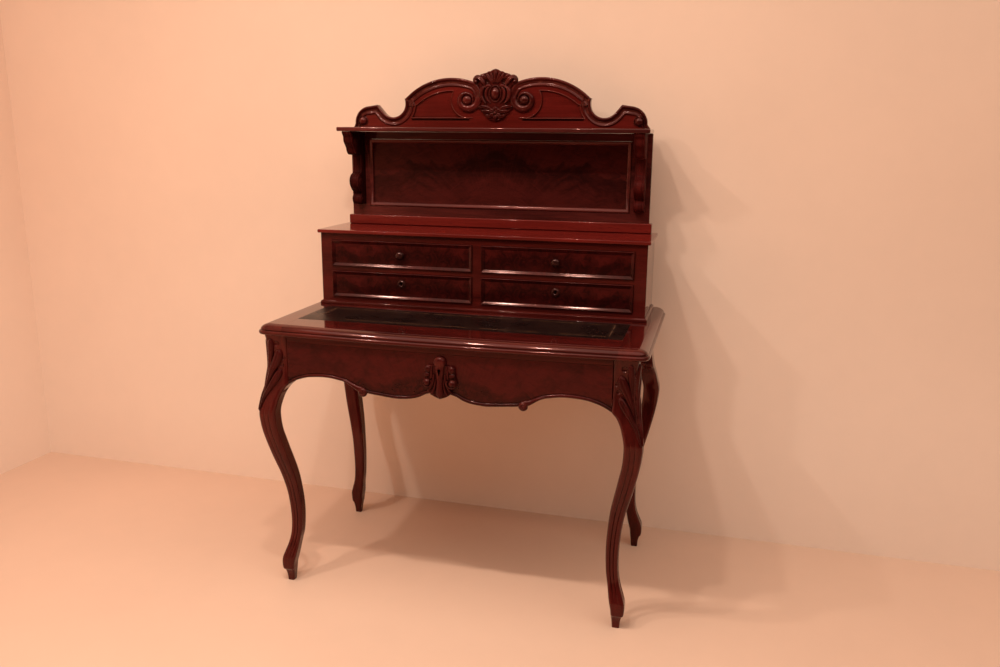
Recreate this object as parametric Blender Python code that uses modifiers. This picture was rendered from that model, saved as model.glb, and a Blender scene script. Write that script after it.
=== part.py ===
"""Writing table with a drawered upper case, a panelled back, a shelf and a carved cresting.

Metres, +Z up. X runs along the table, and a writer sits on the -Y side. The origin is on the
floor, under the middle of the tabletop's width and depth.
"""

import math

import bmesh
import bpy

# Fits
GAP = 0.0003             # between pieces that are glued together or rest on each other
REVEAL = 0.0006          # round a drawer front in its opening
OVERRUN = 0.004          # how far a cutter runs past the face that it cuts
WELD = 0.00001           # points closer than this are one point
ARRIS = 0.0012           # width of the worn edge on boards

# Tabletop
TOP_WIDTH = 1.023
TOP_DEPTH = 0.568
TOP_HEIGHT = 0.740
TOP_THICKNESS = 0.027
TOP_BOW = 0.017          # how far the front edge bows out in the middle
TOP_CORNER_RADIUS = 0.030
EDGE_REACH = 0.025       # how far the moulded edge stands out from the flat of the top
CLAMP_WIDTH = 0.0745     # end boards, measured from the outermost edge

# Shares of EDGE_REACH inwards, and of TOP_THICKNESS down, from the bottom of the edge to the top
EDGE_PROFILE_SHARES = (
    (0.20, 1.00), (0.06, 0.95), (0.00, 0.84), (0.00, 0.75), (0.05, 0.64), (0.17, 0.58),
    (0.25, 0.565), (0.25, 0.525), (0.205, 0.49), (0.235, 0.40), (0.37, 0.25), (0.60, 0.12),
    (0.87, 0.04), (1.00, 0.00),
)
CORNER_STEPS = 5
BOW_STEPS = 12

# Leather on the tabletop
LEATHER_WIDTH = TOP_WIDTH - 2 * CLAMP_WIDTH
LEATHER_THICKNESS = 0.002
LEATHER_BORDER = 0.113   # from the foremost point of the tabletop
LEATHER_BACK_BORDER = 0.0372     # from the front of the upper case

# Legs
FOOT_INSET_X = 0.0545     # the middle of the foot, from the tabletop's end
FOOT_INSET_Y = 0.052      # the middle of the foot, from the tabletop's back and foremost point
FOOT_X = TOP_WIDTH / 2 - FOOT_INSET_X
FOOT_Y = TOP_DEPTH / 2 - FOOT_INSET_Y
KNEE_INSET = 0.002        # the knee's outer faces, from the tabletop's back and foremost point
KNEE_OUT = FOOT_INSET_Y - KNEE_INSET     # the knee's outer faces, from the middle of the foot
POST_OUTER = 0.0255      # the post's outer faces, from the middle of the foot
POST_INNER = 0.0299      # the post's inner faces, from the middle of the foot
POST_CORNER = 0.008
LEG_HEIGHT = TOP_HEIGHT - TOP_THICKNESS - GAP
SECTION_CORNER_SHARE = 0.2
SECTION_STEPS = 2

# Height as a share of LEG_HEIGHT, then outer and inner faces as shares of KNEE_OUT
LEG_SHARES = (
    (0.000, 0.19, -0.19), (0.025, 0.22, -0.22), (0.046, 0.30, -0.255), (0.054, 0.385, -0.27),
    (0.075, 0.415, -0.30), (0.098, 0.395, -0.37), (0.122, 0.285, -0.435), (0.160, 0.10, -0.525),
    (0.200, -0.01, -0.63), (0.243, -0.045, -0.675), (0.285, -0.035, -0.69), (0.327, 0.005, -0.675),
    (0.370, 0.07, -0.63), (0.414, 0.18, -0.57), (0.457, 0.315, -0.485), (0.500, 0.48, -0.365),
    (0.544, 0.64, -0.23), (0.587, 0.78, -0.105), (0.629, 0.90, 0.015), (0.669, 0.975, 0.07),
    (0.708, 1.00, 0.07), (0.742, 0.90, -0.03), (0.772, 0.80, -0.17), (0.797, 0.70, -0.37),
)
# Height as a share of LEG_HEIGHT, then the outer faces as a share of POST_OUTER
POST_SHARES = ((0.816, 1.26), (0.835, 1.17), (0.865, 1.06), (0.905, 1.00), (0.960, 1.08), (1.000, 1.24))

# Rails between the legs
APRON_SETBACK = 0.016    # drawer front and front rail, behind the tabletop's bowed edge
FRONT_RAIL_HEIGHT = 0.0157
FRONT_THICKNESS = 0.020  # of the drawer front and front rail where they meet the posts
SIDE_APRON_THICKNESS = 0.025
SIDE_APRON_OUT = 0.013   # its outer face, from the middle of the foot
SIDE_APRON_HEIGHT = 0.1435
BACK_APRON_HEIGHT = 0.113
BACK_APRON_THICKNESS = 0.020
BACK_APRON_RECESS = 0.0055
SIDE_STEPS = 16

# Distance from the middle as a share of the rail's half length, then depth as a share of its height
SIDE_EDGE_SHARES = (
    (0.00, 0.92), (0.20, 0.90), (0.40, 0.855), (0.58, 0.80), (0.74, 0.775), (0.86, 0.79),
    (0.94, 0.84), (1.00, 0.92),
)

# Writing drawer
DRAWER_FRONT_HEIGHT = 0.1253
FRONT_STEPS = 26
BEAD_WIDTH = 0.0085
BEAD_PROUD = 0.0035
PENDANT_SHARE = 0.496     # of the front's half length
PENDANT_RADIUS = 0.0125
PENDANT_DROP = 0.1167    # the pendant's middle, below the top of the drawer front
DRAWER_LENGTH = 0.360
DRAWER_SIDE_THICKNESS = 0.010
DRAWER_SIDE_CLEARANCE = 0.0036
DRAWER_BOX_HEIGHT = 0.0825
DRAWER_BOX_DROP = 0.0065     # the top of the box, below the top of the drawer front
DRAWER_BOTTOM_THICKNESS = 0.005
DRAWER_GROOVE_DEPTH = 0.004
DRAWER_GROOVE_HEIGHT = 0.004
RUNNER_LEDGE = 0.0328        # how far a runner reaches in from the side apron
RUNNER_THICKNESS = 0.012
RUNNER_CLEARANCE = 0.001

# Distance from the middle as a share of the front's half length, then depth as a share of its height
FRONT_EDGE_SHARES = (
    (0.000, 0.800), (0.050, 0.810), (0.093, 0.849), (0.129, 0.913), (0.167, 0.957), (0.204, 0.981),
    (0.242, 0.993), (0.281, 1.000), (0.333, 0.988), (0.408, 0.965), (0.455, 0.950), (0.496, 0.925),
    (0.525, 0.893), (0.548, 0.855), (0.586, 0.785), (0.619, 0.745), (0.655, 0.722), (0.700, 0.700),
    (0.740, 0.693), (0.790, 0.698), (0.856, 0.722), (0.900, 0.760), (0.940, 0.808), (0.970, 0.858),
    (1.000, 0.921),
)

# Bead along the lower edge: how far it stands proud, then height, as shares, from the bottom up
BEAD_SHARES = ((0.4, 0.0), (0.9, 0.22), (1.0, 0.5), (0.8, 0.8), (0.0, 1.0))

# Keyhole cartouche
CARTOUCHE_WIDTH = 0.088
CARTOUCHE_HEIGHT = 0.1086
CARTOUCHE_THICKNESS = 0.0075
CARTOUCHE_DROP = 0.0051      # its top, below the top of the drawer front
CARTOUCHE_BALL_RADIUS = 0.0110
CARTOUCHE_BALL_X = 0.0333
CARTOUCHE_BALL_HEIGHT = 0.0413
CARTOUCHE_RIB_RADIUS = 0.0065
CARTOUCHE_EDGE = 0.0025
KEYHOLE_HEIGHT = 0.0746      # above the cartouche's tip
KEYHOLE_RADIUS = 0.0030
KEYHOLE_SLOT = 0.0110
KEYHOLE_FLARE = 0.0022

# Right half of the outline: shares of half the width, and of the height
CARTOUCHE_SHARES = (
    (0.00, 1.00), (0.20, 0.985), (0.34, 0.93), (0.39, 0.87), (0.37, 0.81), (0.50, 0.79), (0.68, 0.805),
    (0.84, 0.77), (0.92, 0.69), (0.88, 0.60), (0.86, 0.53), (0.96, 0.46), (1.00, 0.39), (0.95, 0.32),
    (0.84, 0.275), (0.70, 0.25), (0.66, 0.20), (0.68, 0.155), (0.545, 0.09), (0.30, 0.04), (0.00, 0.00),
)

# Locks
LOCK_WIDTH = 0.052
LOCK_HEIGHT = 0.034
LOCK_THICKNESS = 0.011
LOCK_PIN_RADIUS = 0.0035
LOCK_PIN_LENGTH = 0.002

# Upper case
CASE_INSET = 0.0407          # its sides, from the tabletop's ends
CASE_WIDTH = TOP_WIDTH - 2 * CASE_INSET
CASE_HEIGHT = 0.2183         # from the tabletop to the top of its top board
CASE_DEPTH = 0.2178
CASE_BACK_SETBACK = 0.012    # behind it, the tabletop runs on this far
CASE_SIDE_THICKNESS = 0.018
CASE_TOP_THICKNESS = 0.010
CASE_TOP_OVERHANG = 0.008
CASE_BOTTOM_THICKNESS = 0.012
CASE_BACK_THICKNESS = 0.008
FRAME_THICKNESS = 0.020
STILE_WIDTH = 0.0333
MIDDLE_STILE_WIDTH = 0.025
TOP_RAIL_HEIGHT = 0.0183
MIDDLE_RAIL_HEIGHT = 0.0134
BOTTOM_RAIL_HEIGHT = 0.0233
DIVIDER_THICKNESS = 0.016
SHELF_BOARD_THICKNESS = 0.008
BASE_MOULDING_HEIGHT = 0.0105
BASE_MOULDING_REACH = 0.006

# Shares of the reach, and of the height, from the bottom outer edge to the inner top edge
BASE_PROFILE_SHARES = (
    (0.0, 0.0), (1.0, 0.0), (1.0, 0.45), (0.85, 0.70), (0.45, 0.85), (0.15, 1.0), (0.0, 1.0),
)

# Small drawers
SMALL_FRONT_THICKNESS = 0.016
SMALL_MOULDING_WIDTH = 0.0105
SMALL_MOULDING_PROUD = 0.005
SMALL_PANEL_RECESS = 0.001
SMALL_SIDE_THICKNESS = 0.007
SMALL_SIDE_CLEARANCE = 0.0014
SMALL_BOX_LENGTH = 0.183
SMALL_BOX_DROP = 0.006
SMALL_BOTTOM_THICKNESS = 0.004
SMALL_GROOVE_DEPTH = 0.003
SMALL_GROOVE_HEIGHT = 0.003
KEYHOLE_RISE = 0.007         # a small drawer's keyhole, above the middle of its front

# Shares of the moulding's width inwards, and of how far it stands proud
SMALL_PROFILE_SHARES = (
    (0.00, 0.00), (0.00, 0.62), (0.06, 0.93), (0.15, 1.00), (0.25, 0.88), (0.50, 0.56), (0.80, 0.13),
)

# Knobs and keyhole rings: radius and distance from the drawer's panel, outer end first
KNOB_RADIUS = 0.0122
KNOB_LENGTH = 0.019
KNOB_SHARES = (
    (0.00, 1.00), (0.40, 0.97), (0.75, 0.88), (0.96, 0.72), (1.00, 0.58), (0.90, 0.44), (0.62, 0.35),
    (0.42, 0.27), (0.40, 0.20), (0.72, 0.12), (0.80, 0.00), (0.00, 0.00),
)
RING_RADIUS = 0.0125
RING_THICKNESS = 0.0045
RING_HOLE_RADIUS = 0.0042
TURNED_STEPS = 16

# Back frame above the case
PLINTH_INSET = 0.008         # its ends, from the sides of the case
PLINTH_WIDTH = CASE_WIDTH - 2 * PLINTH_INSET
PLINTH_HEIGHT = 0.0282
PLINTH_SETBACK = 0.1827      # behind the front of the case
BACK_FRAME_INSET = 0.0086    # its ends, from the plinth's
BACK_FRAME_WIDTH = PLINTH_WIDTH - 2 * BACK_FRAME_INSET
BACK_FRAME_HEIGHT = 0.2482
BACK_FRAME_THICKNESS = 0.018
BACK_FRAME_SETBACK = 0.0134  # behind the front of the plinth
BACK_STILE_WIDTH = 0.0572
BACK_TOP_RAIL_HEIGHT = 0.0215
BACK_BOTTOM_RAIL_HEIGHT = 0.0265
PANEL_THICKNESS = 0.006
PANEL_RECESS = 0.007
PANEL_MOULDING_WIDTH = 0.0115
PANEL_MOULDING_PROUD = 0.003

# Shares of the moulding's width inwards, and of its depth out from the panel
PANEL_MOULDING_SHARES = (
    (0.00, 0.00), (0.00, 0.62), (0.12, 0.90), (0.32, 1.00), (0.55, 0.88), (0.72, 0.55), (1.00, 0.30),
    (1.00, 0.00),
)

# Shelf and brackets
SHELF_OVERHANG = 0.0003      # its ends, past the back frame's
SHELF_WIDTH = BACK_FRAME_WIDTH + 2 * SHELF_OVERHANG
SHELF_THICKNESS = 0.012
SHELF_REACH = 0.1065         # in front of the back frame
BRACKET_THICKNESS = 0.031
BRACKET_OUTSET = 0.0130      # from the outer edge of the back frame
BRACKET_HEIGHT = 0.216
BRACKET_REACH = 0.100
BRACKET_EDGE = 0.0025

# Reach out from the back frame, then height, as shares, from the bottom up the front
BRACKET_SHARES = (
    (0.26, 0.00), (0.33, 0.02), (0.37, 0.06), (0.35, 0.11), (0.27, 0.155), (0.33, 0.18), (0.44, 0.22),
    (0.53, 0.27), (0.555, 0.32), (0.53, 0.37), (0.46, 0.41), (0.36, 0.43), (0.29, 0.445), (0.26, 0.48),
    (0.25, 0.58), (0.27, 0.675), (0.42, 0.685), (0.58, 0.69), (0.68, 0.72), (0.73, 0.77), (0.80, 0.81),
    (0.88, 0.85), (0.91, 0.89), (0.92, 0.93), (0.99, 0.965), (1.00, 1.00),
)

# Cresting
CRESTING_INSET = 0.009       # its ends, from the shelf's
CRESTING_HALF_WIDTH = SHELF_WIDTH / 2 - CRESTING_INSET
CRESTING_THICKNESS = 0.017
ARCH_HEIGHT = 0.1415
ARCH_END_HEIGHT = 0.0837
ARCH_END_INSET = 0.1702      # from the end of the cresting, as the next insets are
ARCH_TOP_SHARE = 0.4857      # the arch's highest point, between the middle and the arch's end
ARCH_INNER_X = 0.062
NOTCH_RADIUS = 0.040
NOTCH_INSET = 0.1295
NOTCH_HEIGHT = 0.0697
NOTCH_ARC = (-36, -200)      # degrees, from the shoulder's tip to the arch
SHOULDER_RADIUS = 0.048
SHOULDER_INSET = 0.0565
SHOULDER_HEIGHT = 0.0135
SHOULDER_ARC = (-2, 82)      # degrees
SHOULDER_TIP_INSET = 0.0805
SHOULDER_TIP_HEIGHT = 0.0655
SUNK_MARGIN = 0.036          # band left standing over a sunk panel
SUNK_DEPTH = 0.004
SUNK_INNER_X = 0.122
SUNK_END_INSET = 0.0293      # from the arch's end
SUNK_BOTTOM = 0.026
ARC_STEPS = 10
BOSS_RADIUS = 0.0125
BOSS_THICKNESS = 0.007
BOSS_INSET = 0.032           # its middle, from the end of the cresting
BOSS_HEIGHT = 0.019

# Carved ornament in the middle of the cresting
CARVING_THICKNESS = 0.006
VOLUTE_X = 0.085
VOLUTE_HEIGHT = 0.0805
VOLUTE_RADIUS = 0.036
VOLUTE_THICKNESS = 0.012
FAN_HEIGHT = 0.1655
FAN_HALF_WIDTH = 0.069
FAN_BASE = 0.102
FAN_LOBES = 7
FAN_LOBE_SHARE = 0.06
OVAL_RADIUS = 0.0135
OVAL_HALF_HEIGHT = 0.0185
OVAL_HEIGHT = 0.098
ROSETTE_RADIUS = 0.0225
ROSETTE_HEIGHT = 0.044

# Turned ornaments: radius, then distance from the board, as shares, front first
VOLUTE_SHARES = (
    (0.00, 1.00), (0.22, 0.96), (0.40, 0.72), (0.46, 0.35), (0.62, 0.30), (0.72, 0.70), (0.84, 0.85),
    (0.95, 0.68), (1.00, 0.30), (1.00, 0.00), (0.00, 0.00),
)
ROSETTE_SHARES = (
    (0.00, 1.00), (0.30, 0.94), (0.45, 0.62), (0.58, 0.62), (0.80, 0.80), (0.96, 0.55), (1.00, 0.20),
    (1.00, 0.00), (0.00, 0.00),
)

# Foot of the carved block, below the fan: shares of VOLUTE_X across, and of FAN_BASE up
CARVING_FOOT_SHARES = ((0.0, 0.20), (0.22, 0.24), (0.33, 0.34), (0.52, 0.46), (0.70, 0.51))

# Colour, roughness and metallic value of each finish
MAHOGANY = ((0.115, 0.020, 0.012), 0.22, 0.0)
FLAME_MAHOGANY = ((0.140, 0.026, 0.014), 0.20, 0.0)
CARVED_MAHOGANY = ((0.085, 0.014, 0.010), 0.30, 0.0)
TURNED_MAHOGANY = ((0.030, 0.010, 0.009), 0.28, 0.0)
DRAWER_OAK = ((0.330, 0.190, 0.090), 0.55, 0.0)
BLACK_LEATHER = ((0.014, 0.012, 0.011), 0.35, 0.0)
LOCK_STEEL = ((0.320, 0.300, 0.270), 0.35, 1.0)

# Places that follow from the sizes
TOP_FRONT_Y = -TOP_DEPTH / 2
POST_INNER_X = FOOT_X - POST_INNER
PENDANT_X = PENDANT_SHARE * (POST_INNER_X - REVEAL)
POST_INNER_Y = FOOT_Y - POST_INNER
POST_FACE_Y = -FOOT_Y - POST_OUTER
FRONT_BACK_Y = POST_FACE_Y + FRONT_THICKNESS
FRONT_RAIL_BOTTOM = LEG_HEIGHT - FRONT_RAIL_HEIGHT
DRAWER_TOP = FRONT_RAIL_BOTTOM - REVEAL
SIDE_APRON_INNER_X = FOOT_X + SIDE_APRON_OUT - SIDE_APRON_THICKNESS
DRAWER_OUTER_X = POST_INNER_X - DRAWER_SIDE_CLEARANCE
DRAWER_BOX_TOP = DRAWER_TOP - DRAWER_BOX_DROP
DRAWER_BOX_BOTTOM = DRAWER_BOX_TOP - DRAWER_BOX_HEIGHT

CASE_BASE = TOP_HEIGHT + GAP
CASE_TOP = TOP_HEIGHT + CASE_HEIGHT
CASE_BACK_Y = TOP_DEPTH / 2 - CASE_BACK_SETBACK
CASE_FRONT_Y = CASE_BACK_Y - CASE_DEPTH
CASE_HALF = CASE_WIDTH / 2
FRAME_TOP = CASE_TOP - CASE_TOP_THICKNESS - GAP
FRAME_BACK_Y = CASE_FRONT_Y + FRAME_THICKNESS
OPENING_INNER_X = MIDDLE_STILE_WIDTH / 2
OPENING_OUTER_X = CASE_HALF - STILE_WIDTH
LOWER_OPENING_BOTTOM = CASE_BASE + BOTTOM_RAIL_HEIGHT
UPPER_OPENING_TOP = FRAME_TOP - TOP_RAIL_HEIGHT
OPENING_HEIGHT = (UPPER_OPENING_TOP - LOWER_OPENING_BOTTOM - MIDDLE_RAIL_HEIGHT) / 2
LOWER_OPENING_TOP = LOWER_OPENING_BOTTOM + OPENING_HEIGHT
UPPER_OPENING_BOTTOM = LOWER_OPENING_TOP + MIDDLE_RAIL_HEIGHT

PLINTH_FRONT_Y = CASE_FRONT_Y + PLINTH_SETBACK
PLINTH_BASE = CASE_TOP + GAP
PLINTH_TOP = PLINTH_BASE + PLINTH_HEIGHT
BACK_FRONT_Y = PLINTH_FRONT_Y + BACK_FRAME_SETBACK
BACK_BACK_Y = BACK_FRONT_Y + BACK_FRAME_THICKNESS
BACK_BASE = PLINTH_TOP + GAP
BACK_TOP = BACK_BASE + BACK_FRAME_HEIGHT
BACK_HALF = BACK_FRAME_WIDTH / 2
PANEL_HALF = BACK_HALF - BACK_STILE_WIDTH
PANEL_BASE = BACK_BASE + BACK_BOTTOM_RAIL_HEIGHT
PANEL_TOP = BACK_TOP - BACK_TOP_RAIL_HEIGHT
SHELF_BASE = BACK_TOP + GAP
SHELF_TOP = SHELF_BASE + SHELF_THICKNESS
SHELF_FRONT_Y = BACK_FRONT_Y - SHELF_REACH
CRESTING_BASE = SHELF_TOP + GAP

ARCH_OUTER_X = CRESTING_HALF_WIDTH - ARCH_END_INSET
ARCH_X = ARCH_TOP_SHARE * ARCH_OUTER_X
ARCH_RISE = ARCH_HEIGHT - ARCH_END_HEIGHT
ARCH_RADIUS = ((ARCH_OUTER_X - ARCH_X) ** 2 + ARCH_RISE ** 2) / (2 * ARCH_RISE)
NOTCH_X = CRESTING_HALF_WIDTH - NOTCH_INSET
SHOULDER_X = CRESTING_HALF_WIDTH - SHOULDER_INSET
SHOULDER_TIP_X = CRESTING_HALF_WIDTH - SHOULDER_TIP_INSET
SUNK_OUTER_X = ARCH_OUTER_X - SUNK_END_INSET


def clear_scene():
    """Remove what the scene holds, and make the collections."""
    for obj in list(bpy.data.objects):
        bpy.data.objects.remove(obj, do_unlink=True)
    for name in ("Writing_Table", "Cutters"):
        bpy.context.scene.collection.children.link(bpy.data.collections.new(name))


def finished(obj, finish):
    """Give an object its own material, and put it in the table's collection."""
    colour, roughness, metallic = finish
    material = bpy.data.materials.new(obj.name + "_finish")
    material.use_nodes = True
    shader = material.node_tree.nodes["Principled BSDF"]
    shader.inputs["Base Color"].default_value = (*colour, 1.0)
    shader.inputs["Roughness"].default_value = roughness
    shader.inputs["Metallic"].default_value = metallic
    material.diffuse_color = (*colour, 1.0)
    obj.data.materials.clear()
    obj.data.materials.append(material)
    bpy.data.collections["Writing_Table"].objects.link(obj)
    return obj


def mesh_object(name, shape):
    """Turn a bmesh into an object."""
    mesh = bpy.data.meshes.new(name)
    shape.to_mesh(mesh)
    shape.free()
    return bpy.data.objects.new(name, mesh)


def as_cutter(obj):
    """Keep a shape as a tool for a Boolean, out of the finished table."""
    obj.hide_render = True
    obj.display_type = "WIRE"
    bpy.data.collections["Cutters"].objects.link(obj)
    return obj


def boolean(obj, tool, operation):
    """Cut a tool out of an object, or join it on."""
    modifier = obj.modifiers.new(operation.title(), "BOOLEAN")
    modifier.operation = operation
    modifier.solver = "EXACT"
    modifier.object = tool


def ease_edges(obj, width=ARRIS, segments=1):
    """Take the sharp edges off a board."""
    modifier = obj.modifiers.new("Edges", "BEVEL")
    modifier.width = width
    modifier.segments = segments
    modifier.limit_method = "ANGLE"
    modifier.angle_limit = math.radians(40)


def board(name, low, high):
    """A rectangular board between two corners, placed by its middle."""
    shape = bmesh.new()
    bmesh.ops.create_cube(shape, size=1.0)
    bmesh.ops.scale(shape, vec=[b - a for a, b in zip(low, high)], verts=shape.verts)
    obj = mesh_object(name, shape)
    obj.location = [(a + b) / 2 for a, b in zip(low, high)]
    return obj


def loft(name, rings, closed=False):
    """Skin rings that have as many points each, with flat ends unless the row closes on itself."""
    shape = bmesh.new()
    rows = [[shape.verts.new(point) for point in ring] for ring in rings]
    steps = list(zip(rows, rows[1:]))
    if closed:
        steps.append((rows[-1], rows[0]))
    else:
        shape.faces.new(rows[0])
        shape.faces.new(rows[-1])
    for near, far in steps:
        for i in range(len(near)):
            j = (i + 1) % len(near)
            shape.faces.new((near[i], near[j], far[j], far[i]))
    bmesh.ops.recalc_face_normals(shape, faces=shape.faces)
    return mesh_object(name, shape)


FLAT = (0, 0, 0)                                    # outline in X and Y, thickness along Z
UPRIGHT = (math.radians(90), 0, 0)                  # outline in X and Z, thickness along Y
SIDEWAYS = (math.radians(90), 0, math.radians(90))  # outline in Y and Z, thickness along X


def plate(name, outlines, thickness, turn, middle):
    """Wood cut to outlines: a filled 2D curve with thickness, made a mesh.

    The outlines lie in the plane that turn sets up, and middle is the place of the plane's zero.
    An outline inside another is a hole.
    """
    curve = bpy.data.curves.new(name + "_outline", "CURVE")
    curve.dimensions = "2D"
    curve.fill_mode = "BOTH"
    curve.extrude = thickness / 2
    for outline in outlines:
        spline = curve.splines.new("POLY")
        spline.points.add(len(outline) - 1)
        for point, (across, up) in zip(spline.points, outline):
            point.co = (across, up, 0, 1)
        spline.use_cyclic_u = True
    guide = bpy.data.objects.new(name + "_outline", curve)
    guide.rotation_euler = turn
    guide.location = middle
    bpy.context.scene.collection.objects.link(guide)
    bpy.context.view_layer.update()
    mesh = bpy.data.meshes.new_from_object(guide.evaluated_get(bpy.context.evaluated_depsgraph_get()))
    shape = bmesh.new()
    shape.from_mesh(mesh)
    bmesh.ops.remove_doubles(shape, verts=shape.verts, dist=WELD)
    bmesh.ops.recalc_face_normals(shape, faces=shape.faces)
    obj = mesh_object(name, shape)
    obj.matrix_world = guide.matrix_world
    bpy.data.objects.remove(guide)
    bpy.data.meshes.remove(mesh)
    return obj


def turned(name, profile, middle, hollow=False):
    """A lathe piece whose axis points at the writer. The profile runs from its front to its back."""
    shape = bmesh.new()
    points = [shape.verts.new((radius, 0, height)) for radius, height in profile]
    for near, far in zip(points, points[1:]):
        shape.edges.new((near, far))
    if hollow:
        shape.edges.new((points[-1], points[0]))
    obj = mesh_object(name, shape)
    obj.rotation_euler = UPRIGHT
    obj.location = middle
    screw = obj.modifiers.new("Lathe", "SCREW")
    screw.steps = TURNED_STEPS
    screw.render_steps = TURNED_STEPS
    screw.use_merge_vertices = True
    screw.merge_threshold = WELD
    return obj


def ball(name, middle, radii, segments=12, rings=8):
    """A ball or an egg between three half axes."""
    shape = bmesh.new()
    bmesh.ops.create_uvsphere(shape, u_segments=segments, v_segments=rings, radius=1.0)
    bmesh.ops.scale(shape, vec=radii, verts=shape.verts)
    obj = mesh_object(name, shape)
    obj.location = middle
    return obj


def smooth(obj):
    """Shade round faces smooth, and keep the arrises."""
    obj.data.shade_smooth()
    obj.data.set_sharp_from_angle(angle=math.radians(35))


def eased(table, share):
    """Read a table of shares at one place, on a smooth curve through its points."""
    last = len(table) - 1
    for i in range(last):
        if share <= table[i + 1][0] or i == last - 1:
            break
    near, far = table[i], table[i + 1]
    before = table[max(i - 1, 0)]
    after = table[min(i + 2, last)]
    span = far[0] - near[0]
    at = (share - near[0]) / span
    slope_near = (far[1] - before[1]) / (far[0] - before[0]) * span
    slope_far = (after[1] - near[1]) / (after[0] - near[0]) * span
    return ((2 * at ** 3 - 3 * at ** 2 + 1) * near[1] + (at ** 3 - 2 * at ** 2 + at) * slope_near
            + (3 * at ** 2 - 2 * at ** 3) * far[1] + (at ** 3 - at ** 2) * slope_far)


def arc(centre, radius, start, end, steps):
    """Points along an arc in a plane, from one angle to another, in degrees."""
    turns = [math.radians(start + (end - start) * i / steps) for i in range(steps + 1)]
    return [(centre[0] + radius * math.cos(turn), centre[1] + radius * math.sin(turn)) for turn in turns]


def mirrored(half):
    """Close the right half of an outline with its mirror image, without doubling points on the axis."""
    left = [(-across, up) for across, up in reversed(half) if abs(across) > WELD]
    return half + left


def bow_circle():
    """Radius and middle, on Y, of the circle that the tabletop's front edge lies on."""
    half = TOP_WIDTH / 2
    radius = (half ** 2 + TOP_BOW ** 2) / (2 * TOP_BOW)
    return radius, TOP_FRONT_Y + radius


def bowed_y(x, setback):
    """Y of a bowed face that runs parallel to the tabletop's front edge."""
    radius, middle = bow_circle()
    return middle - math.sqrt((radius - setback) ** 2 - x ** 2)


def rectangle(low, high):
    """Outline of a rectangle between two corners."""
    return [low, (high[0], low[1]), high, (low[0], high[1])]


def parent_to(piece, carrier):
    """Let a piece ride on an empty that stands unturned."""
    piece.parent = carrier
    piece.location = piece.location - carrier.location


def slide_origin(name, place):
    """An empty on a drawer's sliding axis."""
    empty = bpy.data.objects.new(name, None)
    empty.empty_display_size = REVEAL
    empty.location = place
    bpy.data.collections["Writing_Table"].objects.link(empty)
    return empty


# Legs and rails

def leg_ring(height, outer, inner, corner, side_x, side_y):
    """One rounded square of a leg; outer and inner are its faces, from the middle of the foot."""
    ring = []
    for across, along, start in ((1, 1, 0), (0, 1, 90), (0, 0, 180), (1, 0, 270)):
        middle = [outer - corner if side else inner + corner for side in (across, along)]
        ring += arc(middle, corner, start, start + 90, SECTION_STEPS)
    return [(side_x * (FOOT_X + u), side_y * (FOOT_Y + v), height) for u, v in ring]


def make_leg(name, side_x, side_y):
    """A cabriole leg that bends out along the table's diagonal, with the post at its top."""
    rings = []
    for height, outer, inner in LEG_SHARES:
        faces = outer * KNEE_OUT, inner * KNEE_OUT
        corner = SECTION_CORNER_SHARE * (faces[0] - faces[1])
        rings.append(leg_ring(height * LEG_HEIGHT, *faces, corner, side_x, side_y))
    for height, outer in POST_SHARES:
        faces = outer * POST_OUTER, -POST_INNER
        rings.append(leg_ring(height * LEG_HEIGHT, *faces, POST_CORNER, side_x, side_y))
    leg = loft(name, rings)
    smooth(leg)
    finished(leg, MAHOGANY)


def make_side_apron(name, side):
    """The rail between a front and a back leg, with its shaped lower edge."""
    half = POST_INNER_Y - GAP
    outer = side * (FOOT_X + SIDE_APRON_OUT)
    inner = side * SIDE_APRON_INNER_X
    rings = []
    for i in range(-SIDE_STEPS // 2, SIDE_STEPS // 2 + 1):
        share = 2 * i / SIDE_STEPS
        bottom = LEG_HEIGHT - SIDE_APRON_HEIGHT * eased(SIDE_EDGE_SHARES, abs(share))
        y = share * half
        rings.append([(outer, y, bottom), (outer, y, LEG_HEIGHT), (inner, y, LEG_HEIGHT), (inner, y, bottom)])
    finished(loft(name, rings), MAHOGANY)


def make_back_apron():
    """The plain rail between the back legs."""
    outer = FOOT_Y + POST_OUTER - BACK_APRON_RECESS
    half = POST_INNER_X - GAP
    rail = board("back_apron", (-half, outer - BACK_APRON_THICKNESS, LEG_HEIGHT - BACK_APRON_HEIGHT),
                 (half, outer, LEG_HEIGHT))
    ease_edges(rail)
    finished(rail, MAHOGANY)


def make_front_rail():
    """The thin bowed rail over the writing drawer."""
    half = POST_INNER_X - GAP
    rings = []
    for i in range(-BOW_STEPS, BOW_STEPS + 1):
        x = half * i / BOW_STEPS
        front = bowed_y(x, APRON_SETBACK)
        rings.append([(x, front, FRONT_RAIL_BOTTOM), (x, front, LEG_HEIGHT),
                      (x, FRONT_BACK_Y, LEG_HEIGHT), (x, FRONT_BACK_Y, FRONT_RAIL_BOTTOM)])
    finished(loft("front_rail", rings), MAHOGANY)


def make_guides():
    """A guide on each side apron: runner under the writing drawer, guide beside it, kicker over it."""
    outer = SIDE_APRON_INNER_X - GAP
    inner = outer - RUNNER_LEDGE
    guide = DRAWER_OUTER_X + RUNNER_CLEARANCE
    top = DRAWER_BOX_BOTTOM - GAP
    bottom = top - RUNNER_THICKNESS
    kicker = DRAWER_BOX_TOP + RUNNER_CLEARANCE
    section = [(inner, bottom), (outer, bottom), (outer, LEG_HEIGHT), (inner, LEG_HEIGHT), (inner, kicker),
               (guide, kicker), (guide, top), (inner, top)]
    for side, place in ((-1, "left"), (1, "right")):
        outline = [(side * x, z) for x, z in section]
        guide_rail = plate("drawer_guide_" + place, [outline], 2 * (POST_INNER_Y - GAP), UPRIGHT, (0, 0, 0))
        finished(guide_rail, DRAWER_OAK)


# Tabletop

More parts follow.
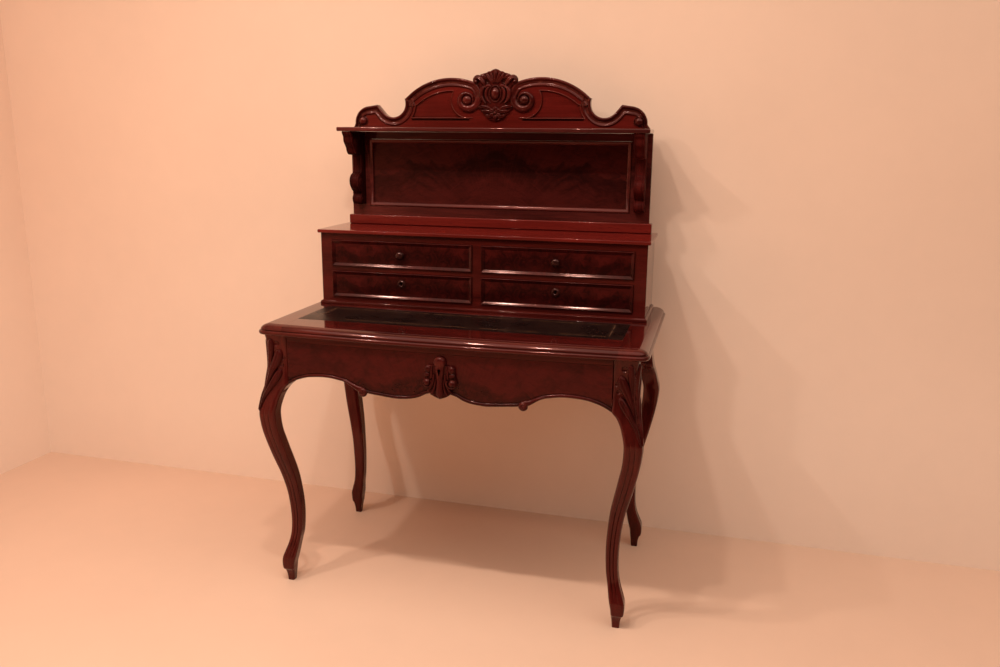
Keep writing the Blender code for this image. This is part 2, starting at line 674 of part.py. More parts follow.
def top_plan(inset, height):
    """The tabletop's plan at one inset from its outermost edge, from the back left corner round the front."""
    radius, middle = bow_circle()
    corner_x = TOP_WIDTH / 2 - TOP_CORNER_RADIUS
    corner_y = middle - math.sqrt((radius - TOP_CORNER_RADIUS) ** 2 - corner_x ** 2)
    turn = math.degrees(math.asin(corner_x / (radius - TOP_CORNER_RADIUS)))
    edge = arc((corner_x, corner_y), TOP_CORNER_RADIUS - inset, 0, turn - 90, CORNER_STEPS)
    right = [(TOP_WIDTH / 2 - inset, TOP_DEPTH / 2)] + edge
    left = [(-x, y) for x, y in right]
    front = arc((0, middle), radius - inset, -90 - turn, -90 + turn, BOW_STEPS)[1:-1]
    return [(x, y, height) for x, y in left + front + right[::-1]]


def top_slice(name, low, high):
    """The part of the tabletop between two places along its length."""
    rings = [top_plan(inset * EDGE_REACH, TOP_HEIGHT - drop * TOP_THICKNESS)
             for inset, drop in EDGE_PROFILE_SHARES]
    obj = loft(name, rings)
    shape = bmesh.new()
    shape.from_mesh(obj.data)
    for place, side in ((low, -1), (high, 1)):
        if place is None:
            continue
        bmesh.ops.bisect_plane(shape, geom=shape.verts[:] + shape.edges[:] + shape.faces[:],
                               plane_co=(place, 0, 0), plane_no=(side, 0, 0), clear_outer=True, dist=WELD)
        rim = [edge for edge in shape.edges if edge.is_boundary]
        bmesh.ops.edgeloop_fill(shape, edges=rim)
    bmesh.ops.recalc_face_normals(shape, faces=shape.faces)
    shape.to_mesh(obj.data)
    shape.free()
    smooth(obj)
    return finished(obj, MAHOGANY)


def make_tabletop():
    """The centre board with its leather, and a clamp across each end."""
    joint = TOP_WIDTH / 2 - CLAMP_WIDTH
    centre = top_slice("tabletop_centre", -joint + GAP / 2, joint - GAP / 2)
    top_slice("tabletop_clamp_left", None, -joint - GAP / 2)
    top_slice("tabletop_clamp_right", joint + GAP / 2, None)
    half = LEATHER_WIDTH / 2
    front = TOP_FRONT_Y + LEATHER_BORDER
    back = CASE_FRONT_Y - LEATHER_BACK_BORDER
    floor = TOP_HEIGHT - LEATHER_THICKNESS
    recess = board("leather_recess", (-half, front, floor), (half, back, TOP_HEIGHT + OVERRUN))
    boolean(centre, as_cutter(recess), "DIFFERENCE")
    leather = board("writing_leather", (-half + GAP, front + GAP, floor + GAP),
                    (half - GAP, back - GAP, TOP_HEIGHT))
    finished(leather, BLACK_LEATHER)


# Drawers

def drawer_box(name, carrier, low, high, thickness, bottom_thickness, groove, lift, joined):
    """The sides, back and bottom of a drawer between two corners; its front closes the low Y side.

    A joined box has its back and sides in one piece, dovetailed and glued.
    """
    ledge = low[2] + lift
    shelf = ledge + bottom_thickness
    inner = low[0] + thickness, high[0] - thickness
    left = [(low[0], low[2]), (inner[0], low[2]), (inner[0], ledge - GAP), (inner[0] - groove, ledge - GAP),
            (inner[0] - groove, shelf + GAP), (inner[0], shelf + GAP), (inner[0], high[2]), (low[0], high[2])]
    right = [(low[0] + high[0] - x, z) for x, z in left]
    length = high[1] - low[1]
    middle = (0, (low[1] + high[1]) / 2, 0)
    bite = -thickness / 2 if joined else GAP
    back = board(name + "_back", (inner[0] + bite, high[1] - thickness, shelf + GAP),
                 (inner[1] - bite, high[1], high[2]))
    bottom = board(name + "_bottom", (inner[0] - groove + GAP, low[1], ledge),
                   (inner[1] + groove - GAP, high[1], shelf))
    if joined:
        box = plate(name + "_box", [left, right], length, UPRIGHT, middle)
        boolean(box, as_cutter(back), "UNION")
        pieces = [box, bottom]
    else:
        pieces = [plate(name + "_side_left", [left], length, UPRIGHT, middle),
                  plate(name + "_side_right", [right], length, UPRIGHT, middle), back, bottom]
    for piece in pieces:
        finished(piece, DRAWER_OAK)
        parent_to(piece, carrier)


def keyhole_cutter(name, x, z, low_y, high_y):
    """A round hole with a flared slot under it."""
    hole = arc((x, z), KEYHOLE_RADIUS, -60, 240, TURNED_STEPS)
    slot = [(x - KEYHOLE_FLARE, z - KEYHOLE_SLOT), (x + KEYHOLE_FLARE, z - KEYHOLE_SLOT)]
    middle = (0, (low_y + high_y) / 2, 0)
    return as_cutter(plate(name, [hole + slot], high_y - low_y, UPRIGHT, middle))


def make_lock(name, carrier, x, keyhole_z, front_y):
    """A flat lock case behind a drawer front, with the pin that the key turns on."""
    low_z = keyhole_z - LOCK_HEIGHT / 2
    lock = board(name, (x - LOCK_WIDTH / 2, front_y, low_z),
                 (x + LOCK_WIDTH / 2, front_y + LOCK_THICKNESS, low_z + LOCK_HEIGHT))
    ease_edges(lock)
    pin_face = front_y + LOCK_THICKNESS + LOCK_PIN_LENGTH
    rivet = turned(name + "_rivet", ((0, LOCK_THICKNESS), (LOCK_PIN_RADIUS, LOCK_THICKNESS),
                                     (LOCK_PIN_RADIUS, 0), (0, 0)), (x, pin_face, keyhole_z))
    boolean(lock, as_cutter(rivet), "UNION")
    finished(lock, LOCK_STEEL)
    parent_to(lock, carrier)


def front_edge(share):
    """Height of the writing drawer's lower edge at a share of its half length."""
    return DRAWER_TOP - DRAWER_FRONT_HEIGHT * eased(FRONT_EDGE_SHARES, abs(share))


def front_ring(x, half):
    """Section through the writing drawer's front: back, beaded lower edge, bowed face."""
    step = 1 / FRONT_STEPS / 2
    share = abs(x) / half
    run = (min(share + step, 1) - max(share - step, 0)) * half
    rise = front_edge(min(share + step, 1)) - front_edge(max(share - step, 0))
    width = BEAD_WIDTH * math.hypot(run, rise) / run
    bottom = front_edge(share)
    face = bowed_y(x, APRON_SETBACK)
    bead = [(face - BEAD_PROUD * proud, bottom + width * up) for proud, up in BEAD_SHARES]
    section = [(FRONT_BACK_Y, bottom)] + bead + [(face, DRAWER_TOP), (FRONT_BACK_Y, DRAWER_TOP)]
    return [(x, y, z) for y, z in section]


def make_writing_drawer():
    """The wide drawer under the tabletop."""
    carrier = slide_origin("writing_drawer", (0, FRONT_BACK_Y, DRAWER_BOX_BOTTOM))
    half = POST_INNER_X - REVEAL
    rings = [front_ring(half * i / FRONT_STEPS, half) for i in range(-FRONT_STEPS, FRONT_STEPS + 1)]
    front = loft("writing_drawer_front", rings)
    smooth(front)
    for side, place in ((-1, "left"), (1, "right")):
        middle = (side * PENDANT_X, bowed_y(PENDANT_X, APRON_SETBACK), DRAWER_TOP - PENDANT_DROP)
        boolean(front, as_cutter(ball("pendant_" + place, middle, [PENDANT_RADIUS] * 3)), "UNION")
    face = bowed_y(0, APRON_SETBACK)
    tip = DRAWER_TOP - CARTOUCHE_DROP - CARTOUCHE_HEIGHT
    keyhole_z = tip + KEYHOLE_HEIGHT
    outside = face - CARTOUCHE_THICKNESS - CARTOUCHE_BALL_RADIUS
    cutter = keyhole_cutter("front_keyhole", 0, keyhole_z, outside - OVERRUN, FRONT_BACK_Y + OVERRUN)
    boolean(front, cutter, "DIFFERENCE")
    finished(front, FLAME_MAHOGANY)
    parent_to(front, carrier)

    right = [(across * CARTOUCHE_WIDTH / 2, up * CARTOUCHE_HEIGHT) for across, up in CARTOUCHE_SHARES]
    middle_y = face - GAP - BEAD_PROUD - CARTOUCHE_THICKNESS / 2
    plaque = plate("keyhole_cartouche", [mirrored(right)], CARTOUCHE_THICKNESS, UPRIGHT, (0, middle_y, tip))
    ease_edges(plaque, CARTOUCHE_EDGE, 2)
    front_y = middle_y - CARTOUCHE_THICKNESS / 2
    for side, place in ((-1, "left"), (1, "right")):
        middle = (side * CARTOUCHE_BALL_X, front_y, tip + CARTOUCHE_BALL_HEIGHT)
        radii = (CARTOUCHE_BALL_RADIUS, CARTOUCHE_THICKNESS / 2, CARTOUCHE_BALL_RADIUS)
        boolean(plaque, as_cutter(ball("cartouche_ball_" + place, middle, radii)), "UNION")
    slot_bottom = KEYHOLE_HEIGHT - KEYHOLE_SLOT
    rib = ball("cartouche_rib", (0, front_y, tip + slot_bottom / 2),
               (CARTOUCHE_RIB_RADIUS, CARTOUCHE_THICKNESS / 2, slot_bottom / 2 - CARTOUCHE_EDGE))
    boolean(plaque, as_cutter(rib), "UNION")
    boolean(plaque, cutter, "DIFFERENCE")
    pad = board("cartouche_back", (-CARTOUCHE_BALL_X, middle_y, tip + CARTOUCHE_BALL_HEIGHT),
                (CARTOUCHE_BALL_X, face - GAP, tip + slot_bottom - OVERRUN))
    boolean(plaque, as_cutter(pad), "UNION")
    finished(plaque, CARVED_MAHOGANY)
    parent_to(plaque, carrier)

    low = (-DRAWER_OUTER_X, FRONT_BACK_Y + GAP, DRAWER_BOX_BOTTOM)
    high = (DRAWER_OUTER_X, FRONT_BACK_Y + GAP + DRAWER_LENGTH, DRAWER_BOX_TOP)
    drawer_box("writing_drawer", carrier, low, high, DRAWER_SIDE_THICKNESS, DRAWER_BOTTOM_THICKNESS,
               DRAWER_GROOVE_DEPTH, DRAWER_GROOVE_HEIGHT, joined=False)
    make_lock("writing_drawer_lock", carrier, 0, keyhole_z, FRONT_BACK_Y + GAP)


def nested_front(name, low, high, back_y, front_y):
    """A drawer front with a mitred moulding round a slightly sunk panel."""
    steps = [(0.0, back_y)]
    for inset, proud in SMALL_PROFILE_SHARES:
        steps.append((inset * SMALL_MOULDING_WIDTH, front_y - proud * SMALL_MOULDING_PROUD))
    steps.append((SMALL_MOULDING_WIDTH, front_y + SMALL_PANEL_RECESS))
    rings = []
    for inset, y in steps:
        x_pair = low[0] + inset, high[0] - inset
        z_pair = low[1] + inset, high[1] - inset
        rings.append([(x_pair[0], y, z_pair[0]), (x_pair[1], y, z_pair[0]),
                      (x_pair[1], y, z_pair[1]), (x_pair[0], y, z_pair[1])])
    return loft(name, rings)


def make_small_drawer(name, side, opening_low, opening_high, locked):
    """One of the four small drawers: a locked one has a keyhole ring and lock, an open one a knob."""
    near, far = OPENING_INNER_X + REVEAL, OPENING_OUTER_X - REVEAL
    low_x, high_x = (near, far) if side > 0 else (-far, -near)
    low_z, high_z = opening_low + GAP, opening_high - REVEAL
    back_y = CASE_FRONT_Y + SMALL_FRONT_THICKNESS
    middle_x, middle_z = (low_x + high_x) / 2, (low_z + high_z) / 2
    carrier = slide_origin(name, (middle_x, back_y, low_z))
    front = nested_front(name + "_front", (low_x, low_z), (high_x, high_z), back_y, CASE_FRONT_Y)
    panel_y = CASE_FRONT_Y + SMALL_PANEL_RECESS
    if locked:
        keyhole_z = middle_z + KEYHOLE_RISE
        cutter = keyhole_cutter(name + "_keyhole", middle_x, keyhole_z, panel_y - OVERRUN, back_y + OVERRUN)
        boolean(front, cutter, "DIFFERENCE")
        make_lock(name + "_lock", carrier, middle_x, keyhole_z, back_y + GAP)
        inner = RING_HOLE_RADIUS
        section = (inner, RING_RADIUS)
        half = RING_THICKNESS / 2
        profile = [(section[0], half), (sum(section) / 2, RING_THICKNESS), (section[1], half),
                   (section[1], 0), (section[0], 0)]
        pull = turned(name + "_keyhole_ring", profile, (middle_x, panel_y - GAP, keyhole_z), hollow=True)
    else:
        profile = [(radius * KNOB_RADIUS, length * KNOB_LENGTH) for radius, length in KNOB_SHARES]
        pull = turned(name + "_knob", profile, (middle_x, panel_y - GAP, middle_z))
    finished(front, FLAME_MAHOGANY)
    parent_to(front, carrier)
    finished(pull, TURNED_MAHOGANY)
    parent_to(pull, carrier)
    low = (low_x + SMALL_SIDE_CLEARANCE, back_y + GAP, low_z)
    high = (high_x - SMALL_SIDE_CLEARANCE, back_y + GAP + SMALL_BOX_LENGTH, high_z - SMALL_BOX_DROP)
    drawer_box(name, carrier, low, high, SMALL_SIDE_THICKNESS, SMALL_BOTTOM_THICKNESS,
               SMALL_GROOVE_DEPTH, SMALL_GROOVE_HEIGHT, joined=True)


def make_small_drawers():
    """Upper drawers have knobs, lower drawers have locks."""
    for side, place in ((-1, "left"), (1, "right")):
        make_small_drawer("drawer_upper_" + place, side, UPPER_OPENING_BOTTOM, UPPER_OPENING_TOP, False)
        make_small_drawer("drawer_lower_" + place, side, LOWER_OPENING_BOTTOM, LOWER_OPENING_TOP, True)


# Upper case

def make_case():
    """Sides, top, bottom, back, divider, drawer shelves and face frame of the upper case."""
    side_inner = CASE_HALF - CASE_SIDE_THICKNESS
    behind = FRAME_BACK_Y + GAP
    for side, place in ((-1, "left"), (1, "right")):
        xs = sorted((side * side_inner, side * CASE_HALF))
        piece = board("case_side_" + place, (xs[0], behind, CASE_BASE), (xs[1], CASE_BACK_Y, FRAME_TOP))
        finished(piece, MAHOGANY)
    overhang = CASE_TOP_OVERHANG
    top = board("case_top", (-CASE_HALF - overhang, CASE_FRONT_Y - overhang, CASE_TOP - CASE_TOP_THICKNESS),
                (CASE_HALF + overhang, CASE_BACK_Y, CASE_TOP))
    ease_edges(top, CASE_TOP_THICKNESS / 4, 2)
    finished(top, MAHOGANY)
    floor = LOWER_OPENING_BOTTOM
    inner = side_inner - GAP
    back_inner = CASE_BACK_Y - CASE_BACK_THICKNESS
    behind_back = back_inner - GAP
    bottom = board("case_bottom", (-inner, behind, floor - CASE_BOTTOM_THICKNESS),
                   (inner, behind_back, floor))
    finished(bottom, DRAWER_OAK)
    back = board("case_back", (-inner, back_inner, CASE_BASE), (inner, CASE_BACK_Y, FRAME_TOP))
    finished(back, DRAWER_OAK)
    half = DIVIDER_THICKNESS / 2
    halving = (behind + behind_back) / 2
    slot = half + GAP
    shelf = [(-inner, behind), (inner, behind), (inner, behind_back), (slot, behind_back),
             (slot, halving - GAP), (-slot, halving - GAP), (-slot, behind_back), (-inner, behind_back)]
    middle = (0, 0, UPPER_OPENING_BOTTOM - SHELF_BOARD_THICKNESS / 2)
    finished(plate("case_drawer_shelf", [shelf], SHELF_BOARD_THICKNESS, FLAT, middle), DRAWER_OAK)
    under = UPPER_OPENING_BOTTOM - SHELF_BOARD_THICKNESS - GAP
    over = UPPER_OPENING_BOTTOM + GAP
    divider = [(behind, floor + GAP), (behind_back, floor + GAP), (behind_back, FRAME_TOP),
               (behind, FRAME_TOP), (behind, over), (halving, over), (halving, under), (behind, under)]
    finished(plate("case_divider", [divider], DIVIDER_THICKNESS, SIDEWAYS, (0, 0, 0)), DRAWER_OAK)
    outlines = [rectangle((-CASE_HALF, CASE_BASE), (CASE_HALF, FRAME_TOP))]
    rows = (LOWER_OPENING_BOTTOM, LOWER_OPENING_TOP), (UPPER_OPENING_BOTTOM, UPPER_OPENING_TOP)
    for side in (-1, 1):
        for low, high in rows:
            outlines.append(rectangle((side * OPENING_INNER_X, low), (side * OPENING_OUTER_X, high)))
    frame = plate("case_face_frame", outlines, FRAME_THICKNESS, UPRIGHT,
                  (0, CASE_FRONT_Y + FRAME_THICKNESS / 2, 0))
    finished(frame, MAHOGANY)


def make_base_moulding():
    """The mitred moulding round the foot of the upper case, on its front and sides."""
    rings = []
    path = ((-1, CASE_BACK_Y, 0), (-1, CASE_FRONT_Y, 1), (1, CASE_FRONT_Y, 1), (1, CASE_BACK_Y, 0))
    for side, y, mitre in path:
        ring = []
        for reach, up in BASE_PROFILE_SHARES:
            out = GAP + reach * BASE_MOULDING_REACH
            ring.append((side * (CASE_HALF + out), y - mitre * out, CASE_BASE + up * BASE_MOULDING_HEIGHT))
        rings.append(ring)
    finished(loft("base_moulding", rings), MAHOGANY)


# Back frame, shelf and brackets

def make_back():
    """Plinth, stiles and rails, panel and its moulding."""
    half = PLINTH_WIDTH / 2
    plinth = board("plinth", (-half, PLINTH_FRONT_Y, PLINTH_BASE), (half, BACK_BACK_Y, PLINTH_TOP))
    ease_edges(plinth, PLINTH_HEIGHT / 8, 2)
    finished(plinth, MAHOGANY)
    across = PANEL_HALF - GAP
    outlines = [rectangle((-BACK_HALF, BACK_BASE), (BACK_HALF, BACK_TOP)),
                rectangle((-PANEL_HALF, PANEL_BASE), (PANEL_HALF, PANEL_TOP))]
    frame = plate("back_frame", outlines, BACK_FRAME_THICKNESS, UPRIGHT,
                  (0, BACK_FRONT_Y + BACK_FRAME_THICKNESS / 2, 0))
    finished(frame, MAHOGANY)
    panel_front = BACK_FRONT_Y + PANEL_RECESS
    finished(board("back_panel", (-across, panel_front, PANEL_BASE + GAP),
                   (across, panel_front + PANEL_THICKNESS, PANEL_TOP - GAP)), FLAME_MAHOGANY)
    rings = []
    seat = panel_front - GAP
    depth = PANEL_RECESS - GAP + PANEL_MOULDING_PROUD
    for side_x, side_z in ((-1, -1), (1, -1), (1, 1), (-1, 1)):
        ring = []
        for inwards, proud in PANEL_MOULDING_SHARES:
            inset = inwards * PANEL_MOULDING_WIDTH
            z = PANEL_BASE + GAP + inset if side_z < 0 else PANEL_TOP - GAP - inset
            ring.append((side_x * (across - inset), seat - proud * depth, z))
        rings.append(ring)
    finished(loft("panel_moulding", rings, closed=True), MAHOGANY)


def make_shelf():
    """The shelf over the panel, and the two carved brackets that carry its ends."""
    half = SHELF_WIDTH / 2
    shelf = board("shelf", (-half, SHELF_FRONT_Y, SHELF_BASE), (half, BACK_BACK_Y, SHELF_TOP))
    ease_edges(shelf, SHELF_THICKNESS / 4, 2)
    finished(shelf, MAHOGANY)
    back = BACK_FRONT_Y - GAP
    base = BACK_TOP - BRACKET_HEIGHT
    outline = [(back, base)] + [(back - reach * BRACKET_REACH, base + up * BRACKET_HEIGHT)
                                for reach, up in BRACKET_SHARES] + [(back, BACK_TOP)]
    for side, place in ((-1, "left"), (1, "right")):
        middle = (side * (BACK_HALF - BRACKET_OUTSET - BRACKET_THICKNESS / 2), 0, 0)
        bracket = plate("bracket_" + place, [outline], BRACKET_THICKNESS, SIDEWAYS, middle)
        ease_edges(bracket, BRACKET_EDGE, 1)
        finished(bracket, CARVED_MAHOGANY)


# Cresting

def arch_height_at(x, inset=0.0):
    """Height of the cresting's arch over the shelf, at a place along it."""
    return ARCH_HEIGHT - ARCH_RADIUS + math.sqrt((ARCH_RADIUS - inset) ** 2 - (x - ARCH_X) ** 2)


def cresting_outline():
    """Right half of the cresting's outline: foot, shoulder, notch and arch, from outside to the middle."""
    shoulder = arc((SHOULDER_X, SHOULDER_HEIGHT), SHOULDER_RADIUS, *SHOULDER_ARC, ARC_STEPS)
    notch = arc((NOTCH_X, NOTCH_HEIGHT), NOTCH_RADIUS, *NOTCH_ARC, ARC_STEPS)
    arch = []
    for i in range(ARC_STEPS + 1):
        x = ARCH_OUTER_X + (ARCH_INNER_X - ARCH_OUTER_X) * i / ARC_STEPS
        arch.append((x, arch_height_at(x)))
    tip = (SHOULDER_TIP_X, SHOULDER_TIP_HEIGHT)
    return [(CRESTING_HALF_WIDTH, 0)] + shoulder + [tip] + notch + arch


def sunk_outline(side):
    """A sunk panel under one arch of the cresting, which keeps an even band above it."""
    top = []
    for i in range(ARC_STEPS + 1):
        x = SUNK_OUTER_X + (SUNK_INNER_X - SUNK_OUTER_X) * i / ARC_STEPS
        top.append((side * x, arch_height_at(x, SUNK_MARGIN)))
    return [(side * SUNK_INNER_X, SUNK_BOTTOM), (side * SUNK_OUTER_X, SUNK_BOTTOM)] + top


def make_cresting():
    """The cresting board with its sunk panels, and a boss on each shoulder."""
    middle_y = BACK_FRONT_Y + CRESTING_THICKNESS / 2
    crest = plate("cresting_board", [mirrored(cresting_outline())], CRESTING_THICKNESS, UPRIGHT,
                  (0, middle_y, CRESTING_BASE))
    for side, place in ((-1, "left"), (1, "right")):
        sink = plate("sunk_panel_" + place, [sunk_outline(side)], SUNK_DEPTH + OVERRUN, UPRIGHT,
                     (0, BACK_FRONT_Y + (SUNK_DEPTH - OVERRUN) / 2, CRESTING_BASE))
        boolean(crest, as_cutter(sink), "DIFFERENCE")
        profile = [(radius * BOSS_RADIUS, depth * BOSS_THICKNESS) for radius, depth in VOLUTE_SHARES]
        boss = turned("cresting_boss_" + place, profile,
                      (side * (CRESTING_HALF_WIDTH - BOSS_INSET), BACK_FRONT_Y - GAP,
                       CRESTING_BASE + BOSS_HEIGHT))
        finished(boss, CARVED_MAHOGANY)
    finished(crest, MAHOGANY)


def carving_outline():
    """Right half of the carved block: its foot, the arms that run to the volutes, and the lobed fan."""
    rise = FAN_HEIGHT - FAN_BASE
    points = [(across * VOLUTE_X, up * FAN_BASE) for across, up in CARVING_FOOT_SHARES]
    steps = 4 * FAN_LOBES
    for i in range(steps + 1):
        turn = math.radians(90) * i / steps
        lobe = 1 - FAN_LOBE_SHARE * abs(math.cos(FAN_LOBES * turn))
        points.append((FAN_HALF_WIDTH * math.cos(turn) * lobe, FAN_BASE + rise * math.sin(turn) * lobe))
    points[-1] = (0, FAN_HEIGHT)
    return points


def make_carving():
    """Fan, volutes, oval and rosette, carved from one block."""
    face = BACK_FRONT_Y - GAP
    middle_y = face - CARVING_THICKNESS / 2
    carving = plate("cresting_carving", [mirrored(carving_outline())], CARVING_THICKNESS, UPRIGHT,
                    (0, middle_y, CRESTING_BASE))
    seat = face - GAP
    for side, place in ((-1, "left"), (1, "right")):
        profile = [(radius * VOLUTE_RADIUS, depth * VOLUTE_THICKNESS) for radius, depth in VOLUTE_SHARES]
        volute = turned("volute_" + place, profile, (side * VOLUTE_X, seat, CRESTING_BASE + VOLUTE_HEIGHT))
        boolean(carving, as_cutter(volute), "UNION")
    profile = [(radius * ROSETTE_RADIUS, depth * VOLUTE_THICKNESS) for radius, depth in ROSETTE_SHARES]
    rosette = turned("rosette", profile, (0, seat, CRESTING_BASE + ROSETTE_HEIGHT))
    boolean(carving, as_cutter(rosette), "UNION")
    oval = ball("oval", (0, face - CARVING_THICKNESS, CRESTING_BASE + OVAL_HEIGHT),
                (OVAL_RADIUS, CARVING_THICKNESS - GAP, OVAL_HALF_HEIGHT))
    boolean(carving, as_cutter(oval), "UNION")
    finished(carving, CARVED_MAHOGANY)


def main():
    """Build the whole table."""
    clear_scene()
    for side_y, row in ((-1, "front"), (1, "back")):
        make_leg("leg_" + row + "_left", -1, side_y)
        make_leg("leg_" + row + "_right", 1, side_y)
    make_side_apron("side_apron_left", -1)
    make_side_apron("side_apron_right", 1)
    make_back_apron()
    make_front_rail()
    make_guides()
    make_tabletop()
    make_writing_drawer()
    make_case()
    make_base_moulding()
    make_small_drawers()
    make_back()
    make_shelf()
    make_cresting()
    make_carving()


main()
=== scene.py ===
"""Looks of the writing table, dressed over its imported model.

Metres, in the model's own frame: X runs along the table, +Y is its back, +Z is up and the floor
is at zero. The writer sits on the -Y side.
"""

from __future__ import annotations

import logging
import logging
import math
from collections.abc import Callable, Iterator, Sequence
from contextlib import contextmanager
from dataclasses import dataclass
from enum import Enum
from functools import cache

import bpy
from mathutils import Matrix, Vector


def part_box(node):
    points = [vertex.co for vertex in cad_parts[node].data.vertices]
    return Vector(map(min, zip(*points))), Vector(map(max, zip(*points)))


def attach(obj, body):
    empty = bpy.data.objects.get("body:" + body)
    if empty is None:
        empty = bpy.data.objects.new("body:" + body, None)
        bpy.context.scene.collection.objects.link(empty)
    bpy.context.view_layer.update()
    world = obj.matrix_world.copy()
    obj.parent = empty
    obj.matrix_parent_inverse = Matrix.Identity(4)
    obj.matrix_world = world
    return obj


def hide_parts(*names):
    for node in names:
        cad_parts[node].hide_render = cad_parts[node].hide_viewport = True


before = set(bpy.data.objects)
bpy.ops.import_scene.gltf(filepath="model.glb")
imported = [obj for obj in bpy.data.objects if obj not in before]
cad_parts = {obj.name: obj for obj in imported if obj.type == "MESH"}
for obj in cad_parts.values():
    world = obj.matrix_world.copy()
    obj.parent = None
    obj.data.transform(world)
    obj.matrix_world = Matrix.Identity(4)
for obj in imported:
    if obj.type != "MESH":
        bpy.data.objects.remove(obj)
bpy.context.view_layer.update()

LOG = logging.getLogger("writing_table")

Flat = tuple[float, float]
Ring = list[Vector]
Spot = tuple[float, float, float]
Socket = bpy.types.NodeSocket
Piece = bpy.types.Object

MERGE = 0.00002  # points closer than this become one
GAP = 0.0003  # between a carved piece and what it is glued to
THINNEST = 0.0002  # half the width that a carved strip keeps at its ends
ROOT = 0.001  # how deep a carved strip goes into the wood under it
VEIN_SHARE = 0.22  # half the width of a leaf's vein, of the leaf's half width
MITRE_LIMIT = 0.6  # holds a mitre back at a sharp corner
RIB_STEPS = 12  # faces across a carved strip
KEYHOLE_ARC = (-50, 230)  # degrees, from one side of the slot round to the other
OUTWARD = Vector((0, -1, 0))  # out of the table's front
CARVED_EDGE = (0.0022, 3, 40.0)  # how carved plates are rounded, as ease takes it


class Body(Enum):
    """What moves as one."""

    TABLE = "table"
    WRITING_DRAWER = "writing_drawer"
    UPPER_LEFT = "drawer_upper_left"
    UPPER_RIGHT = "drawer_upper_right"
    LOWER_LEFT = "drawer_lower_left"
    LOWER_RIGHT = "drawer_lower_right"


class Grain(Enum):
    """The way the grain runs, as the turn that lays it along X."""

    ALONG = (0.0, 0.0, 0.0)
    UPRIGHT = (0.0, math.pi / 2, 0.0)
    ACROSS = (0.0, 0.0, math.pi / 2)


# Lines and rings

def flowing(points: Sequence[Sequence[float]], steps: int) -> list[tuple[float, ...]]:
    """A smooth line through some points.

    Args:
        points: The points, with any number of coordinates.
        steps: How many points to lay from each given point to the next.

    Returns:
        The points of the line, the given ones among them.
    """
    line = []
    last = len(points) - 1
    for i in range(last):
        four = points[max(i - 1, 0)], points[i], points[i + 1], points[min(i + 2, last)]
        for step in range(steps):
            t = step / steps
            line.append(tuple(
                0.5 * (2 * b + (c - a) * t + (2 * a - 5 * b + 4 * c - d) * t ** 2
                       + (3 * b - a - 3 * c + d) * t ** 3)
                for a, b, c, d in zip(*four)))
    line.append(tuple(points[last]))
    return line


def between(table: Sequence[Flat], place: float) -> float:
    """The value of a table at a place, in a straight line between its rows.

    Args:
        table: Pairs of place and value, with the places rising.
        place: Where to read it.

    Returns:
        The value there.
    """
    for (x0, y0), (x1, y1) in zip(table, table[1:]):
        if place <= x1:
            return y0 + (y1 - y0) * (place - x0) / (x1 - x0)
    return table[-1][1]


def eased(low: float, high: float, value: float) -> float:
    """How far a value is from low to high, from 0 to 1, with soft ends."""
    t = min(max((value - low) / (high - low), 0.0), 1.0)
    return t * t * (3 - 2 * t)


def arc(middle: Flat, radius: float, start: float, end: float, steps: int) -> list[Flat]:
    """Points on an arc, with its angles in degrees."""
    turns = [math.radians(start + (end - start) * i / steps) for i in range(steps + 1)]
    return [(middle[0] + radius * math.cos(t), middle[1] + radius * math.sin(t)) for t in turns]


def left_normals(path: Sequence[Flat]) -> list[Flat]:
    """The normal on the left of each point of an open path, lengthened at corners as a mitre is.

    Args:
        path: The points of the path.

    Returns:
        One normal for each point.
    """
    runs = []
    for (x0, y0), (x1, y1) in zip(path, path[1:]):
        length = math.hypot(x1 - x0, y1 - y0) or 1.0
        runs.append(((y0 - y1) / length, (x1 - x0) / length))
    normals = [runs[0]]
    for (ax, ay), (bx, by) in zip(runs, runs[1:]):
        x, y = ax + bx, ay + by
        size = max(math.hypot(x, y), MITRE_LIMIT)
        normals.append((2 * x / size ** 2, 2 * y / size ** 2))
    normals.append(runs[-1])
    return normals


def whole(right: Sequence[Flat], base: float) -> list[Flat]:
    """A closed outline from its right half, whose two ends lie in the middle, raised by a base."""
    return [(x, base + z) for x, z in right] + [(-x, base + z) for x, z in right[-2:0:-1]]


def swell(widths: Sequence[float], height: float) -> list[float]:
    """How far a carved strip stands out along its line, the most where it is widest."""
    return [height * math.sqrt(width / max(widths)) for width in widths]


# Work at the bench

def clear_bench() -> None:
    """Leave edit mode, with nothing selected."""
    if bpy.context.object and bpy.context.object.mode != "OBJECT":
        bpy.ops.object.mode_set(mode="OBJECT")
    bpy.ops.object.select_all(action="DESELECT")


def take_up(obj: Piece) -> None:
    """Select one piece alone, ready to be worked.

    Args:
        obj: The piece.
    """
    clear_bench()
    obj.select_set(True)
    bpy.context.view_layer.objects.active = obj


@contextmanager
def editing(obj: Piece) -> Iterator[None]:
    """Work on the whole mesh of one piece in edit mode.

    Args:
        obj: The piece.
    """
    take_up(obj)
    bpy.ops.object.mode_set(mode="EDIT")
    bpy.ops.mesh.select_all(action="SELECT")
    yield
    bpy.ops.object.mode_set(mode="OBJECT")


def worked(obj: Piece, kind: str, **settings: object) -> None:
    """Put a modifier on a piece and apply it.

    Args:
        obj: The piece.
        kind: The modifier's type.
        **settings: The modifier's settings.
    """
    take_up(obj)
    modifier = obj.modifiers.new(kind.title(), kind)
    for key, value in settings.items():
        setattr(modifier, key, value)
    bpy.ops.object.modifier_apply(modifier=modifier.name)


def named(name: str) -> Piece:
    """The piece that was just added, under its own name, with its place in its mesh.

    Args:
        name: The piece's name.

    Returns:
        The piece.
    """
    obj = bpy.context.object
    obj.name = obj.data.name = name
    bpy.ops.object.transform_apply(location=True, rotation=True, scale=True)
    return obj


